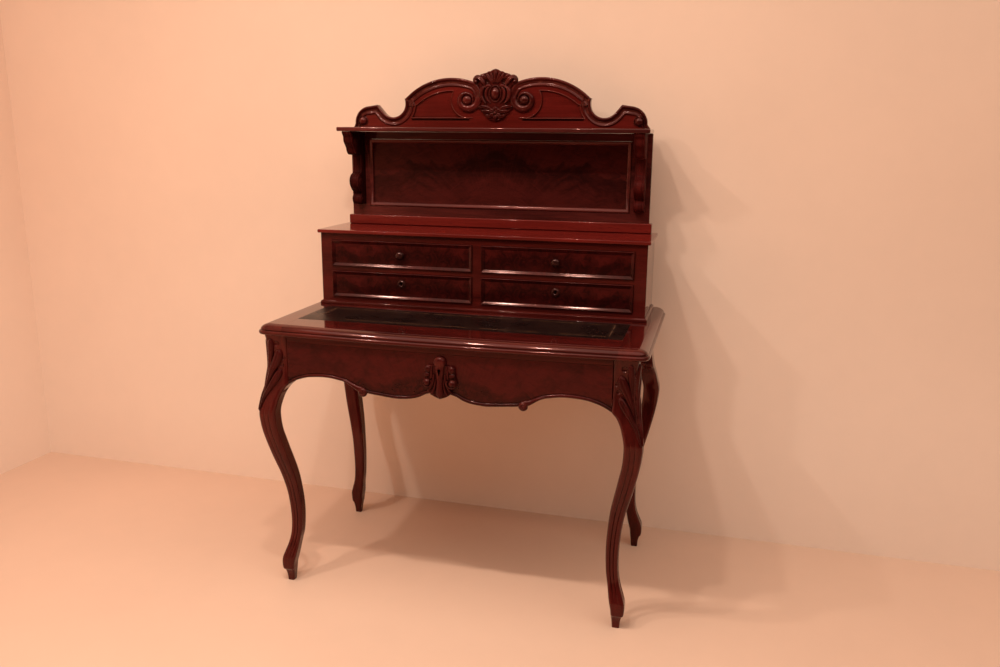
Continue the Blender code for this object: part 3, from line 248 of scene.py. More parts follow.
def laid_out(name: str, points: Sequence[Sequence[float]]) -> Piece:
    """The piece that was just added, under its own name, with its points at new places.

    Args:
        name: The piece's name.
        points: Its points' places, in their order.

    Returns:
        The piece.
    """
    obj = named(name)
    obj.data.vertices.foreach_set("co", [c for point in points for c in point])
    return obj


def copied(source: Piece, name: str) -> Piece:
    """A new piece with its own copy of another's mesh.

    Args:
        source: The other piece.
        name: The new piece's name.

    Returns:
        The new piece.
    """
    obj = bpy.data.objects.new(name, source.data.copy())
    obj.data.name = name
    bpy.context.scene.collection.objects.link(obj)
    return obj


def skin(name: str, rings: Sequence[Sequence[Vector]], capped: bool = True) -> Piece:
    """A sheet wrapped over a row of closed rings.

    Args:
        name: The piece's name.
        rings: Rings with the same number of points each.
        capped: Whether the two ends are closed.

    Returns:
        The piece.
    """
    loops = [list(ring) + [ring[0]] for ring in rings]
    clear_bench()
    bpy.ops.mesh.primitive_grid_add(x_subdivisions=len(loops[0]) - 1, y_subdivisions=len(loops) - 1)
    obj = laid_out(name, [point for loop in loops for point in loop])
    with editing(obj):
        bpy.ops.mesh.remove_doubles(threshold=MERGE)
        if capped:
            bpy.ops.mesh.fill_holes(sides=0)
        bpy.ops.mesh.normals_make_consistent(inside=False)
    return obj


def lathe(name: str, profile: Sequence[Flat], centre: Spot, steps: int) -> Piece:
    """A piece turned about an axis that runs along Y, out of the front of the table.

    Args:
        name: The piece's name.
        profile: Radius and distance out from the centre, from end to end.
        centre: Where the axis meets what the piece stands on.
        steps: Faces round it.

    Returns:
        The piece.
    """
    x, y, z = centre
    rings = []
    for radius, out in profile:
        rings.append([Vector((x + a, y - out, z + b)) for a, b in arc((0, 0), radius, 0, 360, steps)[:-1]])
    return skin(name, rings)


def rib(name: str, spine: Sequence[Vector], widths: Sequence[float], heights: Sequence[float],
        outward: Vector, crease: float = 0.0) -> Piece:
    """A carved strip with a round back that lies along a line, such as a leaf's lobe or a scroll.

    Args:
        name: The piece's name.
        spine: The line that it lies along.
        widths: Half its width at each point of the line.
        heights: How far it stands out at each point.
        outward: The way out of the wood.
        crease: How much of its height a vein along its middle takes away.

    Returns:
        The piece.
    """
    rings = []
    last = len(spine) - 1
    for i, point in enumerate(spine):
        along = (spine[min(i + 1, last)] - spine[max(i - 1, 0)]).normalized()
        side = along.cross(outward).normalized()
        ring = []
        for step in range(RIB_STEPS + 1):
            turn = math.pi * step / RIB_STEPS
            vein = 1 - crease * math.exp(-(math.cos(turn) / VEIN_SHARE) ** 2)
            ring.append(point + side * widths[i] * math.cos(turn)
                        + outward * heights[i] * math.sin(turn) * vein)
        sink = -outward * min(heights[i], ROOT)
        ring += [point + side * -widths[i] + sink, point + side * widths[i] + sink]
        rings.append(ring)
    return skin(name, rings)


def bent_rib(name: str, points: Sequence[Flat], half: Sequence[float], height: float, face_y: float,
             crease: float = 0.0, steps: int = 5) -> Piece:
    """A rib that lies on an upright face, along a smooth line through some points of it.

    Args:
        name: The piece's name.
        points: Points of its line, as X and Z.
        half: Half its width at each of them.
        height: How far it stands out.
        face_y: Where the face is.
        crease: The vein along its middle, as rib takes it.
        steps: Points laid from each given one to the next.

    Returns:
        The piece.
    """
    line = flowing([(*point, width) for point, width in zip(points, half)], steps)
    widths = [max(width, THINNEST) for _, _, width in line]
    spine = [Vector((x, face_y, z)) for x, z, _ in line]
    return rib(name, spine, widths, swell(widths, height), OUTWARD, crease)


def dome(name: str, centre: Sequence[float], radii: Spot, rings: int = 12, segments: int = 24) -> Piece:
    """A rounded lump, as a sphere stretched to three radii.

    Args:
        name: The piece's name.
        centre: Its middle.
        radii: Its half size along each axis.
        rings: Faces from pole to pole.
        segments: Faces round it.

    Returns:
        The piece.
    """
    clear_bench()
    bpy.ops.mesh.primitive_uv_sphere_add(segments=segments, ring_count=rings, radius=1)
    bpy.ops.transform.resize(value=radii)
    bpy.ops.transform.translate(value=tuple(centre))
    return named(name)


def joined(name: str, parts: Sequence[Piece]) -> Piece:
    """Several shells as one carved piece.

    Args:
        name: The piece's name.
        parts: The shells, which are used up.

    Returns:
        The piece.
    """
    take_up(parts[0])
    for part in parts:
        part.select_set(True)
    bpy.ops.object.join()
    return named(name)


def mirrored(obj: Piece, name: str) -> Piece:
    """A copy of a piece on the other side of the table's middle.

    Args:
        obj: The piece.
        name: The copy's name.

    Returns:
        The copy.
    """
    twin = copied(obj, name)
    twin.data.transform(Matrix.Scale(-1, 4, (1, 0, 0)))
    with editing(twin):
        bpy.ops.mesh.normals_make_consistent(inside=False)
    return twin


def panel(name: str, outline: Sequence[Flat], front_y: float, thickness: float) -> Piece:
    """An upright board cut to an outline.

    Args:
        name: The piece's name.
        outline: Its corners as X and Z.
        front_y: Where its front face is.
        thickness: How far back it goes.

    Returns:
        The piece.
    """
    clear_bench()
    bpy.ops.mesh.primitive_circle_add(vertices=len(outline), fill_type="NGON")
    obj = laid_out(name, [(x, front_y, z) for x, z in outline])
    with editing(obj):
        bpy.ops.mesh.extrude_region_move(TRANSFORM_OT_translate={"value": (0, thickness, 0)})
        bpy.ops.mesh.select_all(action="SELECT")
        bpy.ops.mesh.normals_make_consistent(inside=False)
    return obj


def keyhole(middle: Flat, radius: float, foot: Flat, front_y: float, depth: float, steps: int) -> Piece:
    """A cutter in the shape of a keyhole.

    Args:
        middle: X and Z of its round part.
        radius: The round part's radius.
        foot: Half the width of the slot's lower end, and how far that is under the middle.
        front_y: Where the cutter starts.
        depth: How far back it goes.
        steps: Faces round it.

    Returns:
        The cutter.
    """
    (x, z), (half, drop) = middle, foot
    outline = arc(middle, radius, *KEYHOLE_ARC, steps) + [(x - half, z - drop), (x + half, z - drop)]
    return panel("keyhole_cutter", outline, front_y, depth)


def cut(obj: Piece, tool: Piece) -> None:
    """Cut one piece with another, which is used up."""
    worked(obj, "BOOLEAN", operation="DIFFERENCE", solver="EXACT", object=tool)
    bpy.data.objects.remove(tool, do_unlink=True)


def ease(obj: Piece, width: float, segments: int = 2, angle: float = 35.0) -> None:
    """Round the edges of a piece, over a width and in some faces, where they are sharper than an angle."""
    worked(obj, "BEVEL", width=width, segments=segments, angle_limit=math.radians(angle),
           limit_method="ANGLE", use_clamp_overlap=True)


# Finishes

class Tree:
    """A node tree that is being laid out."""

    def __init__(self, tree: bpy.types.NodeTree) -> None:
        """Start on an empty tree."""
        self.tree = tree
        self.tree.nodes.clear()

    def plug(self, node: bpy.types.Node, inputs: dict[str | int, object]) -> bpy.types.Node:
        """Give some of a node's inputs their values.

        Args:
            node: The node.
            inputs: A value, a colour of three parts or a socket for each input, by name or number.

        Returns:
            The node.
        """
        for key, value in inputs.items():
            if isinstance(value, Socket):
                self.tree.links.new(value, node.inputs[key])
            else:
                node.inputs[key].default_value = (*value, 1) if node.inputs[key].type == "RGBA" else value
        return node

    def add(self, kind: str, inputs: dict[str | int, object] | None = None,
            **settings: object) -> bpy.types.Node:
        """Add a node.

        Args:
            kind: Its type, without the words that every type starts with.
            inputs: What its inputs get, as plug takes them.
            **settings: Its own settings.

        Returns:
            The node.
        """
        node = self.tree.nodes.new("ShaderNode" + kind)
        for key, value in settings.items():
            setattr(node, key, value)
        return self.plug(node, inputs or {})

    def group(self, maker: Callable[[], bpy.types.NodeTree], inputs: dict[str, object]) -> bpy.types.Node:
        """Place one of the shared groups, which its maker builds once."""
        return self.plug(self.add("Group", node_tree=maker()), inputs)

    def maths(self, kind: str, *values: object) -> Socket:
        """The result of a Math node on some values and sockets."""
        return self.add("Math", dict(enumerate(values)), operation=kind).outputs[0]

    def times(self, a: object, b: object) -> Socket:
        """A product."""
        return self.maths("MULTIPLY", a, b)

    def minus(self, a: object, b: object) -> Socket:
        """A difference."""
        return self.maths("SUBTRACT", a, b)

    def plus(self, total: object, *values: object) -> Socket:
        """The sum of some values.

        Args:
            total: The first value.
            *values: The others.

        Returns:
            Their sum.
        """
        for value in values:
            total = self.maths("ADD", total, value)
        return total

    def weighed(self, *parts: tuple[Socket, float]) -> Socket:
        """The sum of some values, each times its own weight."""
        return self.plus(*[self.times(value, weight) for value, weight in parts])

    def vector(self, x: object, y: object, z: object) -> Socket:
        """A vector from its three parts."""
        return self.add("CombineXYZ", {"X": x, "Y": y, "Z": z}).outputs[0]

    def noise(self, vector: Socket, scale: float, detail: float = 3.0, rough: float = 0.55,
              bend: float = 0.0) -> Socket:
        """The value of a noise texture."""
        return self.add("TexNoise", {"Vector": vector, "Scale": scale, "Detail": detail,
                                     "Roughness": rough, "Distortion": bend}).outputs["Fac"]

    def fibre(self, vector: Socket, scale: Spot, detail: float = 3.0, rough: float = 0.55,
              bend: float = 0.0) -> Socket:
        """The value of a noise texture with a scale of its own along each axis."""
        return self.noise(self.add("Mapping", {"Vector": vector, "Scale": scale}).outputs[0], 1.0, detail,
                          rough, bend)

    def moved(self, vector: Socket, shift: Spot, turn: Spot = (0.0, 0.0, 0.0)) -> Socket:
        """A vector shifted and turned."""
        return self.add("Mapping", {"Vector": vector, "Location": shift, "Rotation": turn}).outputs[0]

    def spread(self, value: Socket, low: float, high: float) -> Socket:
        """A value laid out with soft ends so that low becomes 0 and high becomes 1."""
        return self.add("MapRange", {"Value": value, "From Min": low, "From Max": high},
                        interpolation_type="SMOOTHSTEP").outputs[0]

    def ranged(self, value: Socket, low: object, high: object) -> Socket:
        """A value from 0 to 1 laid out from low to high."""
        return self.add("MapRange", {"Value": value, "To Min": low, "To Max": high}).outputs[0]

    def mixed(self, share: object, a: object, b: object, blend: str = "MIX") -> Socket:
        """Two colours mixed."""
        return self.add("Mix", {0: share, 6: a, 7: b}, data_type="RGBA", blend_type=blend).outputs[2]

    def bump(self, height: Socket, strength: float, distance: float) -> Socket:
        """A normal that follows a height."""
        return self.add("Bump", {"Strength": strength, "Distance": distance, "Height": height}).outputs[0]


def new_group(name: str, inputs: dict[str, float | None],
              outputs: Sequence[str]) -> tuple[Tree, bpy.types.Node, bpy.types.Node]:
    """A shader node group with named sockets.

    Args:
        name: The group's name.
        inputs: The first value of each number that goes in, or none for a vector.
        outputs: The numbers that come out.

    Returns:
        The group's tree, its input node and its output node.
    """
    group = bpy.data.node_groups.new(name, "ShaderNodeTree")
    for key, value in inputs.items():
        kind = "NodeSocketVector" if value is None else "NodeSocketFloat"
        socket = group.interface.new_socket(key, in_out="INPUT", socket_type=kind)
        if value is not None:
            socket.default_value = value
    for key in outputs:
        group.interface.new_socket(key, in_out="OUTPUT", socket_type="NodeSocketFloat")
    tree = Tree(group)
    return tree, group.nodes.new("NodeGroupInput"), group.nodes.new("NodeGroupOutput")


# In each group, a noise is given its scale, detail, roughness and bend

@cache
def wood_group() -> bpy.types.NodeTree:
    """Straight grain that runs along X: a tone, the pores, and the height of both.

    Returns:
        The group.
    """
    tree, start, end = new_group("Straight_grain", {"Vector": None, "Scale": 1.0}, ("Tone", "Pores", "Height"))
    place = tree.add("VectorMath", {0: start.outputs["Vector"], "Scale": start.outputs["Scale"]},
                     operation="SCALE").outputs[0]
    drift = tree.fibre(place, (2.0, 9.0, 9.0), 3.0, 0.5, 0.6)
    streak = tree.fibre(place, (3.5, 75.0, 75.0), 5.0, 0.6, 0.8)
    hair = tree.fibre(place, (14.0, 420.0, 420.0), 3.0, 0.6)
    dash = tree.fibre(place, (60.0, 900.0, 900.0), 2.0, 0.5)
    pores = tree.times(tree.spread(dash, 0.6, 0.7), tree.spread(streak, 0.35, 0.6))
    tree.plug(end, {"Tone": tree.weighed((streak, 0.36), (hair, 0.14), (drift, 0.5)), "Pores": pores,
                    "Height": tree.minus(tree.times(hair, 0.3), pores)})
    return tree.tree


@cache
def flame_group() -> bpy.types.NodeTree:
    """Flame figure in veneer, matched about its middle: a dark crest with feathers over and under it.

    Returns:
        The group.
    """
    tree, start, end = new_group("Flame_figure", {"Vector": None, "Span": 0.4, "Rise": 0.05}, ("Tone",))
    x, y, z = tree.add("SeparateXYZ", {0: start.outputs["Vector"]}).outputs
    span = start.outputs["Span"]
    far = tree.maths("DIVIDE", tree.maths("ABSOLUTE", x), span)
    folded = tree.vector(tree.times(far, span), y, z)
    drift = tree.noise(folded, 9.0, 4.0, 0.55, 0.4)
    ripple = tree.noise(folded, 32.0, 4.0, 0.6, 0.8)
    bell = tree.maths("EXPONENT", tree.times(tree.maths("POWER", far, 1.3), -2.6))
    level = tree.plus(tree.minus(z, tree.times(bell, start.outputs["Rise"])),
                      tree.times(tree.minus(drift, 0.5), 0.11), tree.times(tree.minus(ripple, 0.5), 0.02))
    crest = tree.times(tree.spread(level, 0.018, -0.012), tree.spread(level, -0.095, -0.012))
    lean = tree.weighed((level, 46.0), (far, 1.5))
    feather = tree.noise(tree.vector(tree.times(far, 5.0), lean, 0.0), 1.0, 6.0, 0.62, 1.6)
    fan = tree.maths("ARCTAN2", far, tree.plus(z, 0.17))
    hair = tree.noise(tree.vector(tree.times(fan, 30.0), tree.times(level, 9.0), 2.0), 1.0, 4.0, 0.6, 0.5)
    tone = tree.weighed((feather, 0.5), (hair, 0.28), (drift, 0.22))
    tree.plug(end, {"Tone": tree.plus(tone, tree.minus(0.07, tree.times(crest, 0.17)))})
    return tree.tree


@cache
def polish_group() -> bpy.types.NodeTree:
    """French polish that has been rubbed for years: how rough it is, and a faint wave.

    Returns:
        The group.
    """
    tree, start, end = new_group("Rubbed_polish", {"Vector": None, "Least": 0.05, "Most": 0.14},
                                 ("Roughness", "Wave"))
    place = start.outputs["Vector"]
    cloud = tree.spread(tree.noise(place, 9.0, 5.0, 0.6, 0.3), 0.35, 0.7)
    rub = tree.fibre(place, (25.0, 160.0, 160.0), 3.0, 0.5)
    rough = tree.ranged(tree.weighed((cloud, 0.7), (rub, 0.3)), start.outputs["Least"], start.outputs["Most"])
    tree.plug(end, {"Roughness": rough, "Wave": tree.noise(place, 42.0, 2.0, 0.5)})
    return tree.tree


@cache
def shade_and_highlight_group() -> bpy.types.NodeTree:
    """Painted shade in the hollows, and a painted highlight on the edges, broken up by a noise as rubbed wear.

    Returns:
        The group.
    """
    tree, start, end = new_group("Hollows_and_edges", {"Reach": 0.01, "Vector": None}, ("Hollow", "Edge"))
    # Hollow is painted shade where the wood nearby hides the light, and Edge a painted highlight on outward
    # edges
    hollow_shade = tree.add("AmbientOcclusion", {"Distance": start.outputs["Reach"]}, samples=6, only_local=True)
    ridge = tree.add("AmbientOcclusion", {"Distance": 0.0028}, samples=6, only_local=True, inside=True)
    patch = tree.spread(tree.noise(start.outputs["Vector"], 60.0, 4.0, 0.6), 0.35, 0.65)
    tree.plug(end, {"Hollow": tree.spread(hollow_shade.outputs["AO"], 0.92, 0.3),
                    "Edge": tree.times(tree.spread(ridge.outputs["AO"], 0.8, 0.35), patch)})
    return tree.tree


def new_material(name: str) -> tuple[bpy.types.Material, Tree, bpy.types.Node, Socket]:
    """An empty material.

    Args:
        name: Its name.

    Returns:
        The material, its tree, its Principled shader, joined to its output, and its Object coordinates.
    """
    material = bpy.data.materials.new(name)
    material.use_nodes = True
    tree = Tree(material.node_tree)
    shader = tree.add("BsdfPrincipled")
    tree.add("OutputMaterial", {"Surface": shader.outputs[0]})
    return material, tree, shader, tree.add("TexCoord").outputs["Object"]


@dataclass(frozen=True)
class PolishedWood:
    """Mahogany under French polish.

    The polish is a weak coat over a warm gloss, and the coat fades in the hollows as painted shade on its
    reflection. The colour is darker in the hollows as painted shade, and paler on the edges as a painted
    highlight with rubbed wear. A haze adds to its roughness.
    """

    slot: str
    deep: Spot
    warm: Spot
    # Pore colour, and the painted shade in the hollows
    grime_and_shade: Spot = (0.01, 0.0018, 0.0014)
    # Painted highlight on the edges, with rubbed wear
    wear_and_highlight: Spot = (0.15, 0.03, 0.016)
    scale: float = 1.0
    flame: float = 0.0
    span: float = 0.4
    rise: float = 0.055
    # How much painted shade the hollows get, and how much painted highlight the edges
    hollow_shade_share: float = 0.75
    edge_share: float = 0.35
    pore_share: float = 0.55
    reach: float = 0.01
    least: float = 0.05
    most: float = 0.13
    gloss: float = 1.0
    haze: float = 0.01
    specular: float = 0.3
    tint: Spot = (1.0, 0.38, 0.29)
    coat: float = 0.5
    coat_ior: float = 1.27

    def material(self, name: str, grain: Grain, shift: Spot) -> bpy.types.Material:
        """The wood for one piece.

        Args:
            name: The piece's name.
            grain: The way its grain runs.
            shift: Where in the plank it was cut, so that no two pieces are alike.

        Returns:
            The material.
        """
        material, tree, shader, place = new_material(name + "_wood")
        turned = tree.moved(place, shift, grain.value)
        straight = tree.group(wood_group, {"Vector": turned, "Scale": self.scale}).outputs
        tone = straight["Tone"]
        if self.flame:
            plume = tree.group(flame_group, {"Vector": tree.moved(place, shift), "Span": self.span,
                                             "Rise": self.rise})
            tone = tree.weighed((tone, 1 - self.flame), (plume.outputs["Tone"], self.flame))
        # Painted shade for the hollows and painted highlight for the edges
        shade_and_highlight = tree.group(shade_and_highlight_group, {"Reach": self.reach, "Vector": place}).outputs
        hollow_shade = tree.times(shade_and_highlight["Hollow"], self.hollow_shade_share)
        colour = tree.mixed(tree.spread(tone, 0.34, 0.66), self.deep, self.warm)
        colour = tree.mixed(tree.times(straight["Pores"], self.pore_share), colour, self.grime_and_shade)
        # Paler edges: a painted highlight, with rubbed wear
        colour = tree.mixed(tree.times(shade_and_highlight["Edge"], self.edge_share), colour, self.wear_and_highlight)
        polish = tree.group(polish_group, {"Vector": turned, "Least": self.least, "Most": self.most}).outputs
        fill = tree.bump(straight["Height"], 0.1, 0.0002)
        wave = tree.add("Bump", {"Strength": 0.035, "Distance": 0.002, "Height": polish["Wave"],
                                 "Normal": fill})
        # The coat is weaker in the hollows: painted shade on its reflection
        out_of_shade = tree.minus(1.0, tree.times(hollow_shade, 0.8))
        tree.plug(shader, {
            # Darker hollows: painted shade
            "Base Color": tree.mixed(hollow_shade, colour, self.grime_and_shade),
            "Roughness": tree.plus(polish["Roughness"], self.haze),
            "Normal": wave.outputs[0],
            "Specular IOR Level": self.specular * self.gloss,
            "Specular Tint": self.tint,
            "Coat Weight": tree.times(self.coat * self.gloss, out_of_shade),
            "Coat Roughness": self.least,
            "Coat IOR": self.coat_ior,
        })
        return material


@dataclass(frozen=True)
class RawWood:
    """Oak that was never polished, inside the drawers and the case."""

    slot: str
    pale: Spot = (0.3, 0.165, 0.08)
    dark: Spot = (0.15, 0.072, 0.032)
    pore: Spot = (0.06, 0.028, 0.013)
    stained: Spot = (0.11, 0.055, 0.027)
    scale: float = 0.8

    def material(self, name: str, grain: Grain, shift: Spot) -> bpy.types.Material:
        """The wood for one piece, as PolishedWood.material gives it.

        Args:
            name: The piece's name.
            grain: The way its grain runs.
            shift: Where in the plank it was cut.

        Returns:
            The material.
        """
        material, tree, shader, place = new_material(name + "_oak")
        turned = tree.moved(place, shift, grain.value)
        straight = tree.group(wood_group, {"Vector": turned, "Scale": self.scale}).outputs
        stain = tree.spread(tree.noise(place, 11.0, 5.0, 0.6), 0.55, 0.8)
        colour = tree.mixed(tree.spread(straight["Tone"], 0.32, 0.68), self.dark, self.pale)
        colour = tree.mixed(tree.times(straight["Pores"], 0.6), colour, self.pore)
        tree.plug(shader, {
            "Base Color": tree.mixed(tree.times(stain, 0.4), colour, self.stained),
            "Roughness": tree.ranged(straight["Tone"], 0.55, 0.75),
            "Normal": tree.bump(straight["Height"], 0.35, 0.0004),
        })
        return material


@dataclass(frozen=True)
class TooledLeather:
    """Black leather with a gilt line let into its face, and a fainter one beside it."""

    slot: str
    half_length: float = 0.4
    front: float = -0.143
    back: float = -0.008
    line: float = 0.0015
    black: Spot = (0.004, 0.0022, 0.0018)
    brown: Spot = (0.011, 0.0048, 0.0036)
    gilt: Spot = (0.25, 0.115, 0.062)
    specular: float = 0.12

    def material(self, name: str, grain: Grain, shift: Spot) -> bpy.types.Material:
        """The leather, as PolishedWood.material gives its wood.

        Args:
            name: The piece's name.
            grain: The way its grain runs.
            shift: Where in the plank it was cut.

        Returns:
            The material.
        """
        material, tree, shader, place = new_material(name + "_hide")
        x, y, _ = tree.add("SeparateXYZ", {0: place}).outputs
        middle, half = (self.front + self.back) / 2, (self.back - self.front) / 2
        along = tree.minus(tree.maths("ABSOLUTE", x), self.half_length)
        across = tree.minus(tree.maths("ABSOLUTE", tree.minus(y, middle)), half)
        away = tree.maths("ABSOLUTE", tree.maths("MAXIMUM", along, across))
        first = tree.maths("LESS_THAN", away, self.line / 2)
        beside = tree.maths("ABSOLUTE", tree.minus(away, self.line * 3))
        second = tree.times(tree.maths("LESS_THAN", beside, self.line / 5), 0.25)
        rubbed = tree.spread(tree.noise(place, 38.0, 4.0, 0.6), 0.36, 0.52)
        gilt = tree.times(tree.maths("MAXIMUM", first, second), rubbed)
        cell = tree.add("TexVoronoi", {"Vector": place, "Scale": 620.0}, feature="DISTANCE_TO_EDGE")
        cloud = tree.noise(place, 14.0, 5.0, 0.6)
        colour = tree.mixed(tree.spread(cloud, 0.3, 0.75), self.black, self.brown)
        tree.plug(shader, {
            "Base Color": tree.mixed(gilt, colour, self.gilt),
            "Metallic": tree.times(gilt, 0.3),
            "Roughness": tree.ranged(cloud, 0.2, 0.38),
            "Specular IOR Level": self.specular,
            "Normal": tree.bump(tree.spread(cell.outputs["Distance"], 0.0, 0.16), 0.18, 0.0002),
        })
        return material


@dataclass(frozen=True)
class OldSteel:
    """Lock plates, dull with age."""

    slot: str
    bare: Spot = (0.21, 0.195, 0.175)
    rusty: Spot = (0.09, 0.042, 0.022)

    def material(self, name: str, grain: Grain, shift: Spot) -> bpy.types.Material:
        """The metal, as PolishedWood.material gives its wood.

        Args:
            name: The piece's name.
            grain: The way its grain runs.
            shift: Where in the plank it was cut.

        Returns:
            The material.
        """
        material, tree, shader, place = new_material(name + "_steel")
        scratch = tree.fibre(place, (40.0, 40.0, 900.0), 3.0, 0.6)
        rust = tree.spread(tree.noise(place, 90.0, 5.0, 0.65), 0.52, 0.72)
        tree.plug(shader, {
            "Base Color": tree.mixed(rust, self.bare, self.rusty),
            "Metallic": tree.minus(1.0, tree.times(rust, 0.8)),
            "Roughness": tree.ranged(scratch, 0.3, 0.55),
            "Normal": tree.bump(scratch, 0.2, 0.0002),
        })
        return material


Finish = PolishedWood | RawWood | TooledLeather | OldSteel

MAHOGANY = PolishedWood("mahogany", (0.023, 0.0023, 0.0018), (0.076, 0.0074, 0.0054))
RED_FIELD = PolishedWood("mahogany", (0.068, 0.005, 0.0034), (0.138, 0.0112, 0.0078), scale=0.8)
# A lighter copy of the mahogany for the case top and the plinth: painted light on faces lit from overhead
TOP_LIT_MAHOGANY = PolishedWood("mahogany", (0.082, 0.0062, 0.0042), (0.165, 0.014, 0.0096), scale=0.8)
MIRROR_SIDE = PolishedWood("mahogany", (0.026, 0.0026, 0.002), (0.086, 0.0086, 0.006), least=0.02, most=0.05,
                           haze=0.0)
# Lighter and less red than the mahogany: painted fill light for the back frame, shelf and panel moulding in the
# shade under the shelf
FRAME_WOOD = PolishedWood("mahogany", (0.038, 0.0062, 0.0052), (0.12, 0.018, 0.014))
PANEL_FLAME = PolishedWood("flame_mahogany", (0.017, 0.0031, 0.0025), (0.062, 0.0084, 0.0066), flame=0.85,
                           gloss=0.6, least=0.14)
APRON_FLAME = PolishedWood("flame_mahogany", (0.01, 0.0009, 0.0009), (0.055, 0.0044, 0.0038), flame=0.8,
                           span=0.24, rise=0.05, gloss=0.8, least=0.12)
DRAWER_FLAME = PolishedWood("flame_mahogany", (0.012, 0.0016, 0.0014), (0.062, 0.006, 0.0048), flame=0.85,
                            span=0.14, rise=0.03, gloss=0.5, least=0.1)
# The carved finishes have the strongest painted shade in their hollows and painted highlights on their edges
CARVED = PolishedWood("carved_mahogany", (0.03, 0.0028, 0.0022), (0.088, 0.0084, 0.0064), scale=1.3,
                      wear_and_highlight=(0.19, 0.04, 0.026), hollow_shade_share=1.0, edge_share=0.42, reach=0.01, gloss=0.9,
                      least=0.1, haze=0.05)
SHADED_CARVED = PolishedWood("carved_mahogany", (0.018, 0.002, 0.0018), (0.06, 0.006, 0.005), scale=1.3,
                             wear_and_highlight=(0.13, 0.026, 0.018), hollow_shade_share=1.0, edge_share=0.5, reach=0.008,
                             gloss=0.5, least=0.2, haze=0.1)
DULL_CARVED = PolishedWood("carved_mahogany", (0.018, 0.0022, 0.0019), (0.064, 0.0066, 0.0054), scale=1.3,
                           wear_and_highlight=(0.11, 0.02, 0.014), hollow_shade_share=1.0, edge_share=0.35, reach=0.008,
                           gloss=0.12, least=0.3, haze=0.35)
TURNED = PolishedWood("turned_mahogany", (0.01, 0.0026, 0.0022), (0.03, 0.0064, 0.0052), scale=1.6,
                      hollow_shade_share=0.8, edge_share=0.3, reach=0.005, gloss=0.9, least=0.12)
OAK = RawWood("drawer_oak")
LEATHER = TooledLeather("black_leather")
STEEL = OldSteel("lock_steel")


def plank_place(name: str) -> Spot:
    """Where in the plank a piece was cut, worked out from its name.

    Args:
        name: The piece's name.

    Returns:
        How far to shift the grain.
    """
    number = 0
    for i, letter in enumerate(name):
        number = (number * 31 + ord(letter) * (i + 3)) % 9973
    return (number % 97) * 0.37, (number % 89) * 0.41, (number % 83) * 0.29


def finished(obj: Piece, name: str, finish: Finish, grain: Grain, shift: Spot | None = None) -> None:
    """Give a piece its finish, as dress takes it, in place of any that it has."""
    obj.data.materials.clear()
    obj.data.materials.append(finish.material(name, grain, shift or plank_place(name)))


def dress(obj: Piece, finish: Finish, grain: Grain, nodes: Sequence[str] = (), body: Body = Body.TABLE,
          angle: float = 38.0, shift: Spot | None = None) -> None:
    """Give a new piece its finish, and set it on its body.

    Args:
        obj: The piece.
        finish: What it is made of.
        grain: The way its grain runs.
        nodes: The CAD nodes that it stands for.
        body: What it moves with.
        angle: Edges blunter than this, in degrees, are shaded smooth.
        shift: Where its figure is centred, or none for a place of its own.
    """
    take_up(obj)
    bpy.ops.object.shade_smooth_by_angle(angle=math.radians(angle))
    worked(obj, "WEIGHTED_NORMAL", keep_sharp=True)
    finished(obj, obj.name, finish, grain, shift)
    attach(obj, body.value)
    if nodes:
        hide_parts(*nodes)
    LOG.info("%s: %d faces", obj.name, len(obj.data.polygons))


def dress_copy(node: str, finish: Finish, grain: Grain, width: float, ending: str = "_polished",
               angle: float = 38.0, shift: Spot | None = None) -> None:
    """Dress a copy of a CAD node of the table, with its points merged and its edges rounded.

    Args:
        node: The node, which the copy stands for.
        finish: What it is made of.
        grain: The way its grain runs.
        width: How wide the rounding of its edges is.
        ending: What its name has after the node's.
        angle: As dress takes it.
        shift: As dress takes it.
    """
    obj = copied(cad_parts[node], node + ending)
    with editing(obj):
        bpy.ops.mesh.remove_doubles(threshold=MERGE)
        bpy.ops.mesh.dissolve_limited(angle_limit=math.radians(0.5))
    ease(obj, width)
    dress(obj, finish, grain, [node], angle=angle, shift=shift)


def dress_nodes(finish: Finish, grain: Grain, *nodes: str) -> None:
    """Give CAD nodes that stay their finish.

    Args:
        finish: What they are made of.
        grain: The way their grain runs.
        *nodes: The nodes.
    """
    for node in nodes:
        finished(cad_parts[node], node, finish, grain)
        LOG.info("%s: CAD node kept", node)


# The table

SIDES = ((-1, "left"), (1, "right"))


